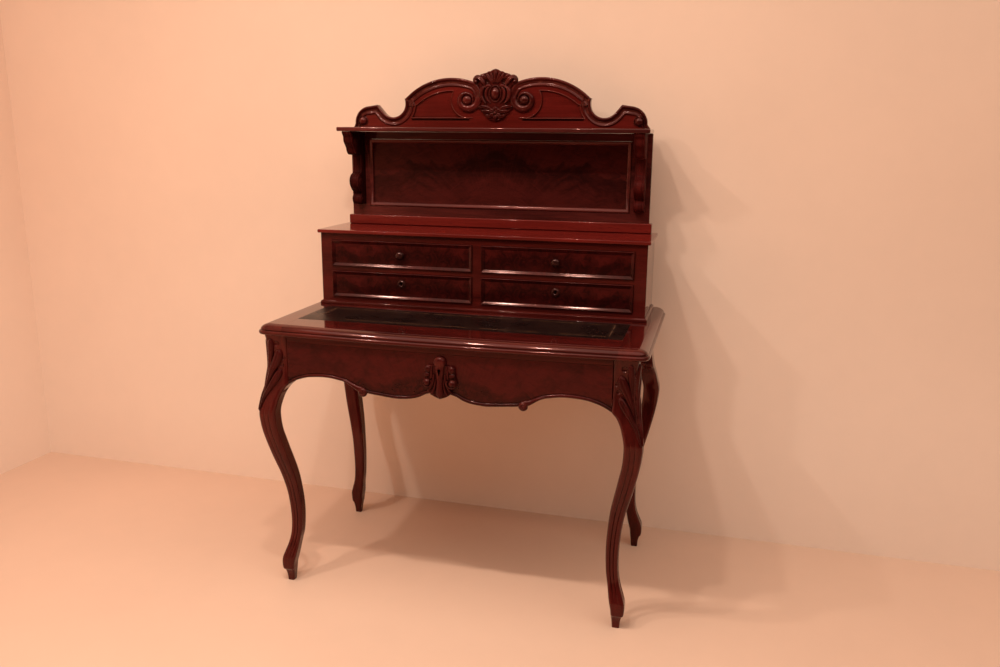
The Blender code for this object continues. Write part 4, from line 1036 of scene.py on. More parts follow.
@dataclass
class Base:
    """Tabletop, legs and rails."""

    foot_x: float = 0.457
    foot_y: float = 0.232
    leg_height: float = 0.7127
    knee: float = 0.05
    post_outer: float = 0.0255
    post_inner: float = 0.0299
    post_corner: float = 0.008
    groove_place: float = 0.46
    groove_width: float = 0.065
    groove_depth: float = 0.0022
    band_depth: float = 0.0006
    band_grows: Flat = (0.085, 0.15)  # shares of the leg's height
    band_fades: Flat = (0.68, 0.75)
    leg_corner: float = 0.2  # share of the leg's thickness
    face_steps: int = 12
    corner_steps: int = 5

    top_z: float = 0.74
    top_thick: float = 0.027
    top_half: float = 0.5115
    top_depth: float = 0.284
    top_bow: float = 0.017
    top_corner: float = 0.03
    top_joint: float = 0.437
    edge_reach: float = 0.025
    top_corner_steps: int = 12
    top_front_steps: int = 40
    recess: tuple[float, ...] = (0.437, -0.171, 0.017, 0.002)  # half length, front, back and depth

    # Shares of the edge's reach inwards and of the top's thickness down, from the bottom up
    edge_shares = (
        (0.2, 1.0), (0.09, 0.97), (0.03, 0.915), (0.0, 0.84), (0.0, 0.75), (0.03, 0.67), (0.09, 0.61),
        (0.17, 0.58), (0.25, 0.565), (0.25, 0.525), (0.21, 0.515), (0.205, 0.47), (0.235, 0.4),
        (0.29, 0.325), (0.37, 0.25), (0.475, 0.18), (0.6, 0.12), (0.735, 0.074), (0.87, 0.04),
        (0.98, 0.02), (1.0, 0.0),
    )

    # Height as a share of the leg, then outer and inner faces as shares of the knee
    leg_shares = (
        (0.0, 0.19, -0.19), (0.025, 0.22, -0.22), (0.046, 0.3, -0.255), (0.054, 0.385, -0.27),
        (0.075, 0.415, -0.3), (0.098, 0.395, -0.37), (0.122, 0.285, -0.435), (0.16, 0.1, -0.525),
        (0.2, -0.01, -0.63), (0.243, -0.045, -0.675), (0.285, -0.035, -0.69), (0.327, 0.005, -0.675),
        (0.37, 0.07, -0.63), (0.414, 0.18, -0.57), (0.457, 0.315, -0.485), (0.5, 0.48, -0.365),
        (0.544, 0.64, -0.23), (0.587, 0.78, -0.105), (0.629, 0.9, 0.015), (0.669, 0.975, 0.07),
        (0.708, 1.0, 0.07), (0.742, 0.9, -0.03), (0.772, 0.8, -0.17), (0.797, 0.7, -0.37),
    )
    post_shares = ((0.816, 1.26), (0.835, 1.17), (0.865, 1.06), (0.905, 1.0), (0.96, 1.08), (1.0, 1.24))

    def stations(self) -> list[tuple[float, ...]]:
        """Height, outer face, inner face and corner radius, up the leg.

        Returns:
            A row for each of its sections.
        """
        rows = []
        for height, outer, inner in self.leg_shares:
            faces = outer * self.knee, inner * self.knee
            rows.append((height, *faces, self.leg_corner * (faces[0] - faces[1])))
        for height, outer in self.post_shares:
            rows.append((height, outer * self.post_outer, -self.post_inner, self.post_corner))
        return flowing(rows, 4)

    def face_depth(self, across: float, fade: float) -> float:
        """How deep the moulded face of a leg is at a share of its half width.

        Args:
            across: The share of the half width.
            fade: How much of the moulding there is.

        Returns:
            The depth.
        """
        groove = math.exp(-((abs(across) - self.groove_place) / self.groove_width) ** 2)
        band = 1 - eased(self.groove_place - self.groove_width, self.groove_place, abs(across))
        return fade * (self.groove_depth * groove + self.band_depth * band)

    def leg_ring(self, station: tuple[float, ...], side_x: int, side_y: int) -> Ring:
        """Section through a leg.

        Args:
            station: A row of stations.
            side_x: Which end of the table it is at.
            side_y: Whether it is at the front or the back.

        Returns:
            The points of the section.
        """
        height, outer, inner, corner = station
        middle, half = (outer + inner) / 2, (outer - inner) / 2
        flat, steps = half - corner, self.face_steps
        fade = eased(*self.band_grows, height) * (1 - eased(*self.band_fades, height))
        ring = []
        for turn, moulded in enumerate((True, True, False, False)):
            c, s = round(math.cos(turn * math.pi / 2)), round(math.sin(turn * math.pi / 2))
            points = [(half - (self.face_depth(i / steps, fade) if moulded else 0), flat * i / steps)
                      for i in range(-steps, steps)]
            points += arc((flat, flat), corner, 0, 90, self.corner_steps)[:-1]
            ring += [(middle + p * c - q * s, middle + p * s + q * c) for p, q in points]
        z = height * self.leg_height
        return [Vector((side_x * (self.foot_x + u), side_y * (self.foot_y + v), z)) for u, v in ring]

    def build_leg(self, name: str, side_x: int, side_y: int) -> None:
        """One cabriole leg with a moulded band down its two outer faces, which are the ring's first two.

        Args:
            name: Its CAD node.
            side_x: Which end of the table it is at.
            side_y: Whether it is at the front or the back.
        """
        leg = skin(name + "_shaped", [self.leg_ring(row, side_x, side_y) for row in self.stations()])
        if side_y < 0:
            KneeLeaf(self).hollow_out(leg, side_x)
        dress(leg, MAHOGANY, Grain.UPRIGHT, [name], angle=50.0)

    def top_plan(self, inset: float, z: float) -> Ring:
        """Outline of the tabletop, some way in from its edge.

        Args:
            inset: How far in.
            z: The outline's height.

        Returns:
            The points of the outline.
        """
        radius = (self.top_half ** 2 + self.top_bow ** 2) / (2 * self.top_bow)
        middle = radius - self.top_depth
        corner_x = self.top_half - self.top_corner
        corner_y = middle - math.sqrt((radius - self.top_corner) ** 2 - corner_x ** 2)
        turn = math.degrees(math.asin(corner_x / (radius - self.top_corner)))
        corner = arc((corner_x, corner_y), self.top_corner - inset, 0, turn - 90, self.top_corner_steps)
        right = [(self.top_half - inset, self.top_depth)] + corner
        front = arc((0, middle), radius - inset, -90 - turn, -90 + turn, self.top_front_steps)[1:-1]
        return [Vector((x, y, z)) for x, y in [(-x, y) for x, y in right] + front + right[::-1]]

    def build_top(self, place: str, low: float, high: float, grain: Grain) -> None:
        """One board of the tabletop.

        Args:
            place: Which board it is.
            low: Where it starts along the table, if not at the end of the tabletop.
            high: Where it ends, in the same way.
            grain: The way its grain runs.
        """
        rings = [self.top_plan(inset * self.edge_reach, self.top_z - drop * self.top_thick)
                 for inset, drop in self.edge_shares]
        board = skin("tabletop_%s_polished" % place, rings)
        for edge, side in ((low, -1), (high, 1)):
            if abs(edge) < self.top_half:
                with editing(board):
                    bpy.ops.mesh.bisect(plane_co=(edge, 0, 0), plane_no=(side, 0, 0), clear_outer=True,
                                        use_fill=True)
        if place == "centre":
            half, front, back, depth = self.recess
            clear_bench()
            bpy.ops.mesh.primitive_cube_add(size=1)
            bpy.ops.transform.resize(value=(2 * half, back - front, 2 * depth))
            bpy.ops.transform.translate(value=(0, (front + back) / 2, self.top_z))
            cut(board, named("recess"))
        dress(board, MAHOGANY, grain, ["tabletop_" + place], angle=34.0)

    def build(self) -> None:
        """Dress the whole base."""
        for side_y, row in ((-1, "front"), (1, "back")):
            for side_x, place in SIDES:
                self.build_leg("leg_%s_%s" % (row, place), side_x, side_y)
        near, far = self.top_joint - GAP / 2, self.top_joint + GAP / 2
        self.build_top("centre", -near, near, Grain.ALONG)
        self.build_top("clamp_left", -self.top_half, -far, Grain.ACROSS)
        self.build_top("clamp_right", far, self.top_half, Grain.ACROSS)
        for _, place in SIDES:
            dress_copy("side_apron_" + place, MIRROR_SIDE, Grain.ACROSS, 0.0012)
        dress_copy("front_rail", MAHOGANY, Grain.ALONG, 0.0004)
        dress_copy("writing_leather", LEATHER, Grain.ALONG, 0.0004, "_hide")
        dress_nodes(MAHOGANY, Grain.ALONG, "back_apron")
        dress_nodes(OAK, Grain.ACROSS, "drawer_guide_left", "drawer_guide_right")


@dataclass
class KneeLeaf:
    """The acanthus leaf on the knee of a front leg, which wraps round its outer corner.

    Each lobe is a row of: distance from the corner, height above the floor, half its width.
    """

    base: Base
    lobes = (
        ((0.037, 0.674, 0.0035), (0.035, 0.666, 0.0105), (0.029, 0.651, 0.013), (0.0205, 0.633, 0.012),
         (0.013, 0.612, 0.0092), (0.0075, 0.59, 0.006), (0.004, 0.562, 0.0015)),
        ((0.037, 0.622, 0.003), (0.035, 0.614, 0.009), (0.0285, 0.6, 0.0108), (0.0195, 0.581, 0.0094),
         (0.012, 0.56, 0.007), (0.007, 0.538, 0.0044), (0.004, 0.51, 0.001)),
        ((0.0165, 0.702, 0.003), (0.0155, 0.694, 0.008), (0.013, 0.678, 0.0092), (0.0095, 0.656, 0.008),
         (0.0065, 0.63, 0.0055), (0.004, 0.6, 0.0015)),
    )
    rises = (0.0122, 0.0112, 0.009)
    pits = ((0.03, 0.69, 0.0085), (0.0465, 0.652, 0.006), (0.04, 0.633, 0.0065))
    corner = ((0.0, 0.506, 0.0012), (0.0, 0.545, 0.0046), (0.0, 0.595, 0.0066), (0.0, 0.64, 0.0064),
              (0.0, 0.67, 0.0048), (0.0, 0.692, 0.0015))
    least: float = 0.0003  # half the width that a strip keeps at its ends
    sunk: float = 0.001  # how deep the lobes' lines lie in the wood
    crease: float = 0.18
    pit_out: float = 0.001  # how far out of the wood the pits' middles are
    pit_depth: float = 0.55  # share of a pit's radius
    corner_sunk: float = 0.0045
    corner_crease: float = 0.3
    corner_rise: float = 0.0072  # how far the corner's strip stands out, where its half width is
    corner_width: float = 0.007  # this

    def outer_at(self, height: float) -> float:
        """How far the leg's outer faces are from the middle of its foot at a height."""
        return between([(row[0] * self.base.leg_height, row[1]) for row in self.base.stations()], height)

    def over(self, side: int, front: bool, inwards: float, height: float, out: float) -> Vector:
        """A point over one face of a leg.

        Args:
            side: Which end of the table the leg is at.
            front: Whether it is over the front face, or else over the end one.
            inwards: How far it is from the leg's outer corner.
            height: How high it is.
            out: How far out of the face it is.

        Returns:
            The point.
        """
        outer = self.outer_at(height)
        x, y = (outer - inwards, outer + out) if front else (outer + out, outer - inwards)
        return Vector((side * (self.base.foot_x + x), -(self.base.foot_y + y), height))

    def lobe(self, rows: Sequence[Spot], side: int, front: bool, rise: float) -> Piece:
        """One lobe on one face of a leg.

        Args:
            rows: Its rows.
            side: Which end of the table it is at.
            front: Whether it is on the front face, or else on the end one.
            rise: How far it stands out.

        Returns:
            The lobe.
        """
        rows = flowing(rows, 5)
        widths = [max(width, self.least) for _, _, width in rows]
        spine = [self.over(side, front, inwards, height, -self.sunk) for inwards, height, _ in rows]
        outward = OUTWARD if front else Vector((side, 0, 0))
        return rib("lobe", spine, widths, swell(widths, rise), outward, self.crease)

    def hollow_out(self, leg: Piece, side: int) -> None:
        """Cut the dark hollows round the leaf into the leg that it is carved on.

        Args:
            leg: The leg.
            side: Which end of the table it is at.
        """
        for front in (True, False):
            for inwards, height, radius in self.pits:
                deep = radius * self.pit_depth
                size = (radius, deep, radius) if front else (deep, radius, radius)
                cut(leg, dome("pit", self.over(side, front, inwards, height, self.pit_out), size))

    def build(self, side: int, place: str) -> None:
        """The leaf on one front leg, as one carved piece.

        Args:
            side: Which end of the table the leg is at.
            place: The same in a word.
        """
        parts = [self.lobe(rows, side, front, rise)
                 for front in (True, False) for rows, rise in zip(self.lobes, self.rises)]
        rows = flowing(self.corner, 5)
        widths = [max(width, self.least) for _, _, width in rows]
        heights = [self.corner_rise * math.sqrt(width / self.corner_width) for width in widths]
        spine = [self.over(side, True, self.corner_sunk, height, -self.corner_sunk) for _, height, _ in rows]
        diagonal = Vector((side, -1, 0)).normalized()
        parts.append(rib("corner", spine, widths, heights, diagonal, self.corner_crease))
        dress(joined("knee_leaf_" + place, parts), SHADED_CARVED, Grain.UPRIGHT)


@dataclass
class WritingDrawer:
    """The wide drawer under the tabletop, with its beaded edge, pendants and keyhole cartouche."""

    top: float = 0.6964
    height: float = 0.1253
    half: float = 0.4265
    back_y: float = -0.2375
    bow_radius: float = 7.7036
    bow_middle: float = 7.4196
    setback: float = 0.016
    bead_width: float = 0.0085
    bead_proud: float = 0.0035
    quirk_shares: Spot = (1.04, 1.16, 1.24)  # heights over the lower edge, of the bead's width
    quirk_depth: float = 0.0011
    pendant_x: float = 0.2115
    pendant_z: float = 0.5797
    pendant_radius: float = 0.0122
    pendant_proud: float = 0.0078
    pendant_out: float = 0.0005
    curl_up: float = 0.0042
    curl_end: Flat = (0.002, 0.003)  # from the pendant's middle
    curl_rise: float = 0.0062
    eye_radius: float = 0.0075
    eye_half: float = 0.0016
    eye_rise: float = 0.0032
    eye_out: float = 0.0052
    eye_points: int = 12
    eye_end: int = 14  # the point at which the eye's spiral would reach its middle
    eye_step: float = 0.62  # radians
    eye_start: float = 1.2
    columns: int = 110  # sections from the drawer's middle to each end
    tip: float = 0.5827
    plate_thick: float = 0.004
    scroll_radius: float = 0.0136
    scroll_points: int = 15
    scroll_shrink: float = 0.045  # share of the radius that each point loses
    scroll_turns: Flat = (60.0, 26.0)  # degrees to its start, and from each point to the next
    scroll_half: Flat = (0.003, 0.0001)  # half its width at its start, and what each point loses
    scroll_rise: float = 0.0085
    spine_rise: float = 0.0068
    keyhole_z: float = 0.6573
    keyhole_radius: float = 0.0042
    keyhole_foot: Flat = (0.0014, 0.013)
    keyhole_start: float = -0.3
    keyhole_depth: float = 0.08
    flame_z: float = 0.6

    # Where the pendant's curl leaves the lower edge, as shares of the half length, and its half widths
    curl_shares = (0.62, 0.585, 0.555, 0.53, 0.51)
    curl_half = (0.0035, 0.0042, 0.0052, 0.0066, 0.008, 0.006)

    # Distance from the middle as a share of the half length, then depth as a share of the height
    edge_shares = (
        (0.0, 0.8), (0.05, 0.81), (0.093, 0.849), (0.129, 0.913), (0.167, 0.957), (0.204, 0.981),
        (0.242, 0.993), (0.281, 1.0), (0.333, 0.988), (0.408, 0.965), (0.455, 0.95), (0.496, 0.925),
        (0.525, 0.893), (0.548, 0.855), (0.586, 0.785), (0.619, 0.745), (0.655, 0.722), (0.7, 0.7),
        (0.74, 0.693), (0.79, 0.698), (0.856, 0.722), (0.9, 0.76), (0.94, 0.808), (0.97, 0.858),
        (1.0, 0.921),
    )

    # Right half of the cartouche's outline, from its top, in metres from its tip
    shield = (
        (0.0, 0.1086), (0.0085, 0.1065), (0.014, 0.1005), (0.016, 0.0925), (0.015, 0.0865),
        (0.0215, 0.085), (0.03, 0.0862), (0.037, 0.0825), (0.04, 0.0745), (0.0385, 0.0665),
        (0.0375, 0.06), (0.042, 0.052), (0.044, 0.043), (0.0425, 0.035), (0.037, 0.029),
        (0.0305, 0.0265), (0.0275, 0.0215), (0.029, 0.0165), (0.023, 0.01), (0.012, 0.004),
        (0.0, 0.0),
    )

    # Scrolled strips on each side of the cartouche: points in metres from its tip, half widths, height
    strips = (
        (((0.015, 0.064), (0.0165, 0.047), (0.0225, 0.031), (0.031, 0.019)),
         (0.0026, 0.0038, 0.004, 0.0022), 0.0058),
        (((0.01, 0.052), (0.012, 0.036), (0.016, 0.021), (0.0225, 0.0105)),
         (0.0018, 0.003, 0.0034, 0.0018), 0.0052),
        (((0.019, 0.086), (0.0215, 0.072), (0.0205, 0.058), (0.0235, 0.05)),
         (0.0016, 0.0034, 0.0032, 0.0014), 0.004),
    )

    # The strip down the cartouche's middle, as heights over its tip and half widths
    spine_rows = ((0.098, 0.011), (0.084, 0.012), (0.066, 0.0108), (0.048, 0.0084), (0.03, 0.0088),
                  (0.014, 0.01), (0.001, 0.0015))

    # Lumps of the cartouche: place out from its middle and over its tip, then half sizes
    bulb = ((0.0, 0.0925), (0.0148, 0.0072, 0.0158))
    lumps = (
        ((0.031, 0.0765), (0.009, 0.0062, 0.0095)),
        ((0.033, 0.062), (0.0085, 0.005, 0.0064)),
    )
    scroll_eye = ((0.0328, 0.0425), (0.0102, 0.011, 0.0102))

    def __post_init__(self) -> None:
        """Draw the lower edge as a smooth line."""
        self.smooth_edge = flowing(self.edge_shares, 6)

    def face_y(self, x: float) -> float:
        """Where the drawer's bowed face is."""
        return self.bow_middle - math.sqrt((self.bow_radius - self.setback) ** 2 - x * x)

    def edge_z(self, share: float) -> float:
        """Height of the lower edge at a share of the half length."""
        return self.top - self.height * between(self.smooth_edge, abs(share))

    def section(self, x: float) -> Ring:
        """Section through the drawer's front: its back, the bead, the face and the top.

        Args:
            x: Where along the drawer it is.

        Returns:
            The points of the section.
        """
        step = 0.5 / self.columns
        share = abs(x) / self.half
        low, high = max(share - step, 0.0), min(share + step, 1.0)
        run = (high - low) * self.half
        width = self.bead_width * math.hypot(run, self.edge_z(high) - self.edge_z(low)) / run
        bottom, face = self.edge_z(share), self.face_y(x)
        bead = [(face - self.bead_proud * math.cos(t), bottom + width * 0.5 * (1 + math.sin(t)))
                for t in (math.radians(a) for a in range(-90, 91, 15))]
        low_share, high_share, field_share = self.quirk_shares
        quirk = [(face + self.quirk_depth, bottom + width * low_share),
                 (face + self.quirk_depth, bottom + width * high_share), (face, bottom + width * field_share)]
        rise = self.top - bottom - width * field_share
        field = [(face, self.top - rise * part) for part in (0.66, 0.33, 0.0)]
        section = [(self.back_y, bottom)] + bead + quirk + field + [(self.back_y, self.top)]
        return [Vector((x, y, z)) for y, z in section]

    def keyhole_cutter(self) -> Piece:
        """What cuts the keyhole through the front and through what is carved on it."""
        return keyhole((0, self.keyhole_z), self.keyhole_radius, self.keyhole_foot, self.keyhole_start,
                       self.keyhole_depth, 24)

    def build_front(self) -> None:
        """The veneered front with its bead."""
        rings = [self.section(self.half * i / self.columns) for i in range(-self.columns, self.columns + 1)]
        front = skin("writing_drawer_veneered_front", rings)
        cut(front, self.keyhole_cutter())
        dress(front, APRON_FLAME, Grain.ALONG, ["writing_drawer_front"], Body.WRITING_DRAWER, 35.0,
              (0.0, 0.0, -self.flame_z))

    def build_pendant(self, side: int, place: str) -> None:
        """One pendant: a ball, the curl that runs into it along the lower edge, and a spiral eye.

        Args:
            side: Which side of the middle it is on.
            place: The same in a word.
        """
        face = self.face_y(self.pendant_x)
        x, y, z = side * self.pendant_x, face - self.pendant_out, self.pendant_z
        end_x, end_z = self.curl_end
        ball = dome("ball", (x, y, z), (self.pendant_radius, self.pendant_proud, self.pendant_radius))
        curl = [(side * share * self.half, self.edge_z(share) + self.curl_up) for share in self.curl_shares]
        curl.append((side * (self.pendant_x + end_x), z + end_z))
        eye = []
        for t in range(self.eye_points):
            reach, turn = self.eye_radius * (1 - t / self.eye_end), side * t * self.eye_step + self.eye_start
            eye.append((x + reach * math.cos(turn), z + reach * math.sin(turn)))
        parts = [ball, bent_rib("curl", curl, self.curl_half, self.curl_rise, face),
                 bent_rib("eye", eye, [self.eye_half] * len(eye), self.eye_rise, y - self.eye_out, steps=2)]
        dress(joined("pendant_scroll_" + place, parts), SHADED_CARVED, Grain.ALONG, body=Body.WRITING_DRAWER)

    def scroll(self, centre: Flat, side: int, face: float) -> Piece:
        """A little spiral scroll of the cartouche.

        Args:
            centre: Its middle, as X and Z.
            side: Which side of the cartouche it is on, and so the way it turns.
            face: Where the face under it is.

        Returns:
            The scroll.
        """
        (opening, step), (widest, loss) = self.scroll_turns, self.scroll_half
        points, half = [], []
        for t in range(self.scroll_points):
            reach, turn = self.scroll_radius * (1 - self.scroll_shrink * t), 90 + side * (opening + t * step)
            points += arc(centre, reach, turn, turn, 1)[:1]
            half.append(widest - loss * t)
        return bent_rib("scroll", points, half, self.scroll_rise, face, steps=3)

    def build_cartouche(self) -> None:
        """The carved shield round the keyhole."""
        plate_y = self.face_y(0) - GAP - self.bead_proud - self.plate_thick
        plate = panel("plate", whole(flowing(self.shield, 4), self.tip), plate_y,
                      self.plate_thick + self.bead_proud)
        ease(plate, *CARVED_EDGE)
        (x, z), radii = self.bulb
        bulb = dome("bulb", (x, plate_y, self.tip + z), radii, 16, 32)
        spine = bent_rib("body", [(0, self.tip + z) for z, _ in self.spine_rows],
                         [half for _, half in self.spine_rows], self.spine_rise, plate_y)
        parts = [plate, bulb, spine]
        for part in parts:
            cut(part, self.keyhole_cutter())
        for side, _ in SIDES:
            for points, half, height in self.strips:
                line = [(side * x, self.tip + z) for x, z in points]
                parts.append(bent_rib("strip", line, half, height, plate_y))
            for (x, z), radii in self.lumps:
                parts.append(dome("lobe", (side * x, plate_y, self.tip + z), radii))
            (x, z), radii = self.scroll_eye
            parts.append(self.scroll((side * x, self.tip + z), side, plate_y))
            parts.append(dome("eye", (side * x, plate_y, self.tip + z), radii))
        dress(joined("keyhole_cartouche_carved", parts), SHADED_CARVED, Grain.UPRIGHT, ["keyhole_cartouche"],
              Body.WRITING_DRAWER)

    def build(self) -> None:
        """Dress the drawer."""
        self.build_front()
        for side, place in SIDES:
            self.build_pendant(side, place)
        self.build_cartouche()
        dress_nodes(OAK, Grain.ACROSS, "writing_drawer_side_left", "writing_drawer_side_right")
        dress_nodes(OAK, Grain.ALONG, "writing_drawer_back", "writing_drawer_bottom")
        dress_nodes(STEEL, Grain.ALONG, "writing_drawer_lock")


@dataclass
class UpperCase:
    """The case that stands on the tabletop, with its four small drawers."""

    knob_radius: float = 0.0122
    knob_length: float = 0.019
    ring_radius: float = 0.0125
    ring_hole: float = 0.0042
    ring_steps: int = 48
    front_y: float = 0.0542
    moulding_width: float = 0.0105
    moulding_proud: float = 0.005
    keyhole_rise: float = 0.007
    keyhole_radius: float = 0.003
    keyhole_foot: Flat = (0.0012, 0.009)
    keyhole_spare: float = 0.01  # how far its cutter stands out of the front and the back
    flame_left: float = -0.05  # where the figure's middle is, from the middle of a left drawer
    flame_right: float = 0.06
    flame_down: float = 0.035

    # Shares of a drawer moulding's width inwards, and of how far it stands proud
    moulding_shares = (
        (0.0, -0.2), (0.0, 0.62), (0.02, 0.8), (0.06, 0.93), (0.11, 1.0), (0.17, 1.0), (0.22, 0.94),
        (0.26, 0.85), (0.36, 0.75), (0.5, 0.56), (0.66, 0.32), (0.8, 0.13), (0.9, 0.04), (0.92, -0.2),
        (1.0, -0.2),
    )

    # Shares of the knob's radius and length, its outer end first
    knob_shares = (
        (0.0, 1.0), (0.22, 0.995), (0.4, 0.97), (0.62, 0.93), (0.75, 0.88), (0.88, 0.8), (0.96, 0.72),
        (1.0, 0.62), (0.98, 0.52), (0.9, 0.44), (0.74, 0.385), (0.62, 0.35), (0.46, 0.3), (0.42, 0.26),
        (0.42, 0.21), (0.55, 0.19), (0.72, 0.15), (0.8, 0.1), (0.82, 0.04), (0.82, 0.0), (0.0, 0.0),
    )
    ring_shares = (
        (0.0, 0.2), (0.05, 0.6), (0.2, 0.92), (0.38, 1.0), (0.55, 0.9), (0.68, 0.62), (0.78, 0.55),
        (0.88, 0.6), (0.97, 0.4), (1.0, 0.0), (0.0, 0.0),
    )

    def build_front(self, name: str, body: Body, locked: bool) -> None:
        """The veneered front of one small drawer, with its moulding mitred round it.

        Args:
            name: The drawer's name.
            body: What it moves with.
            locked: Whether it has a keyhole.
        """
        low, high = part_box(name + "_front")
        middle = (low.x + high.x) / 2
        profile = [(0.0, high.y)] + [(inset * self.moulding_width, self.front_y - proud * self.moulding_proud)
                                     for inset, proud in self.moulding_shares]
        rings = []
        for inset, y in profile:
            x0, x1, z0, z1 = low.x + inset, high.x - inset, low.z + inset, high.z - inset
            rings.append([Vector((x, y, z)) for x, z in ((x0, z0), (x1, z0), (x1, z1), (x0, z1))])
        front = skin(name + "_veneered_front", rings)
        if locked:
            centre = (middle, (low.z + high.z) / 2 + self.keyhole_rise)
            cut(front, keyhole(centre, self.keyhole_radius, self.keyhole_foot, low.y - self.keyhole_spare,
                               high.y - low.y + 2 * self.keyhole_spare, 20))
        shift = (-middle + (self.flame_right if middle > 0 else self.flame_left), 0.0, -low.z - self.flame_down)
        dress(front, DRAWER_FLAME, Grain.ALONG, [name + "_front"], body, 32.0, shift)

    def build_pull(self, pull: str, body: Body, locked: bool) -> None:
        """The turned knob of one small drawer, or the ring round its keyhole.

        Args:
            pull: Its CAD node.
            body: What it moves with.
            locked: Whether it is a ring.
        """
        low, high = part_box(pull)
        centre = ((low.x + high.x) / 2, high.y, (low.z + high.z) / 2)
        if locked:
            across = self.ring_radius - self.ring_hole
            profile = [(self.ring_hole + share * across, out * (high.y - low.y))
                       for share, out in self.ring_shares]
            rings = [[Vector((centre[0] + r * math.cos(a), centre[1] - out, centre[2] + r * math.sin(a)))
                      for r, out in profile]
                     for a in (math.radians(i * 360 / self.ring_steps) for i in range(self.ring_steps + 1))]
            turned = skin(pull + "_turned", rings, capped=False)
        else:
            profile = [(r * self.knob_radius, out * self.knob_length) for r, out in self.knob_shares]
            turned = lathe(pull + "_turned", profile, centre, 48)
        dress(turned, TURNED, Grain.ACROSS, [pull], body)

    def build_drawer(self, body: Body, locked: bool) -> None:
        """One small drawer, which has its body's name.

        Args:
            body: The drawer's body.
            locked: Whether it has a keyhole, and so no knob.
        """
        name = body.value
        self.build_front(name, body, locked)
        self.build_pull(name + ("_keyhole_ring" if locked else "_knob"), body, locked)
        dress_nodes(OAK, Grain.ACROSS, name + "_box")
        dress_nodes(OAK, Grain.ALONG, name + "_bottom")
        if locked:
            dress_nodes(STEEL, Grain.ALONG, name + "_lock")

    def build(self) -> None:
        """Dress the case and its drawers."""
        for _, place in SIDES:
            dress_copy("case_side_" + place, MAHOGANY, Grain.UPRIGHT, 0.0006)
        # The case top gets the lighter copy of the mahogany, painted light for a face lit from overhead
        for node, finish in (("case_top", TOP_LIT_MAHOGANY), ("case_face_frame", MAHOGANY),
                             ("base_moulding", MAHOGANY)):
            dress_copy(node, finish, Grain.ALONG, 0.0005, angle=32.0)
        dress_nodes(OAK, Grain.ALONG, "case_bottom", "case_back", "case_drawer_shelf")
        dress_nodes(OAK, Grain.ACROSS, "case_divider")
        for body in (Body.UPPER_LEFT, Body.UPPER_RIGHT):
            self.build_drawer(body, False)
        for body in (Body.LOWER_LEFT, Body.LOWER_RIGHT):
            self.build_drawer(body, True)


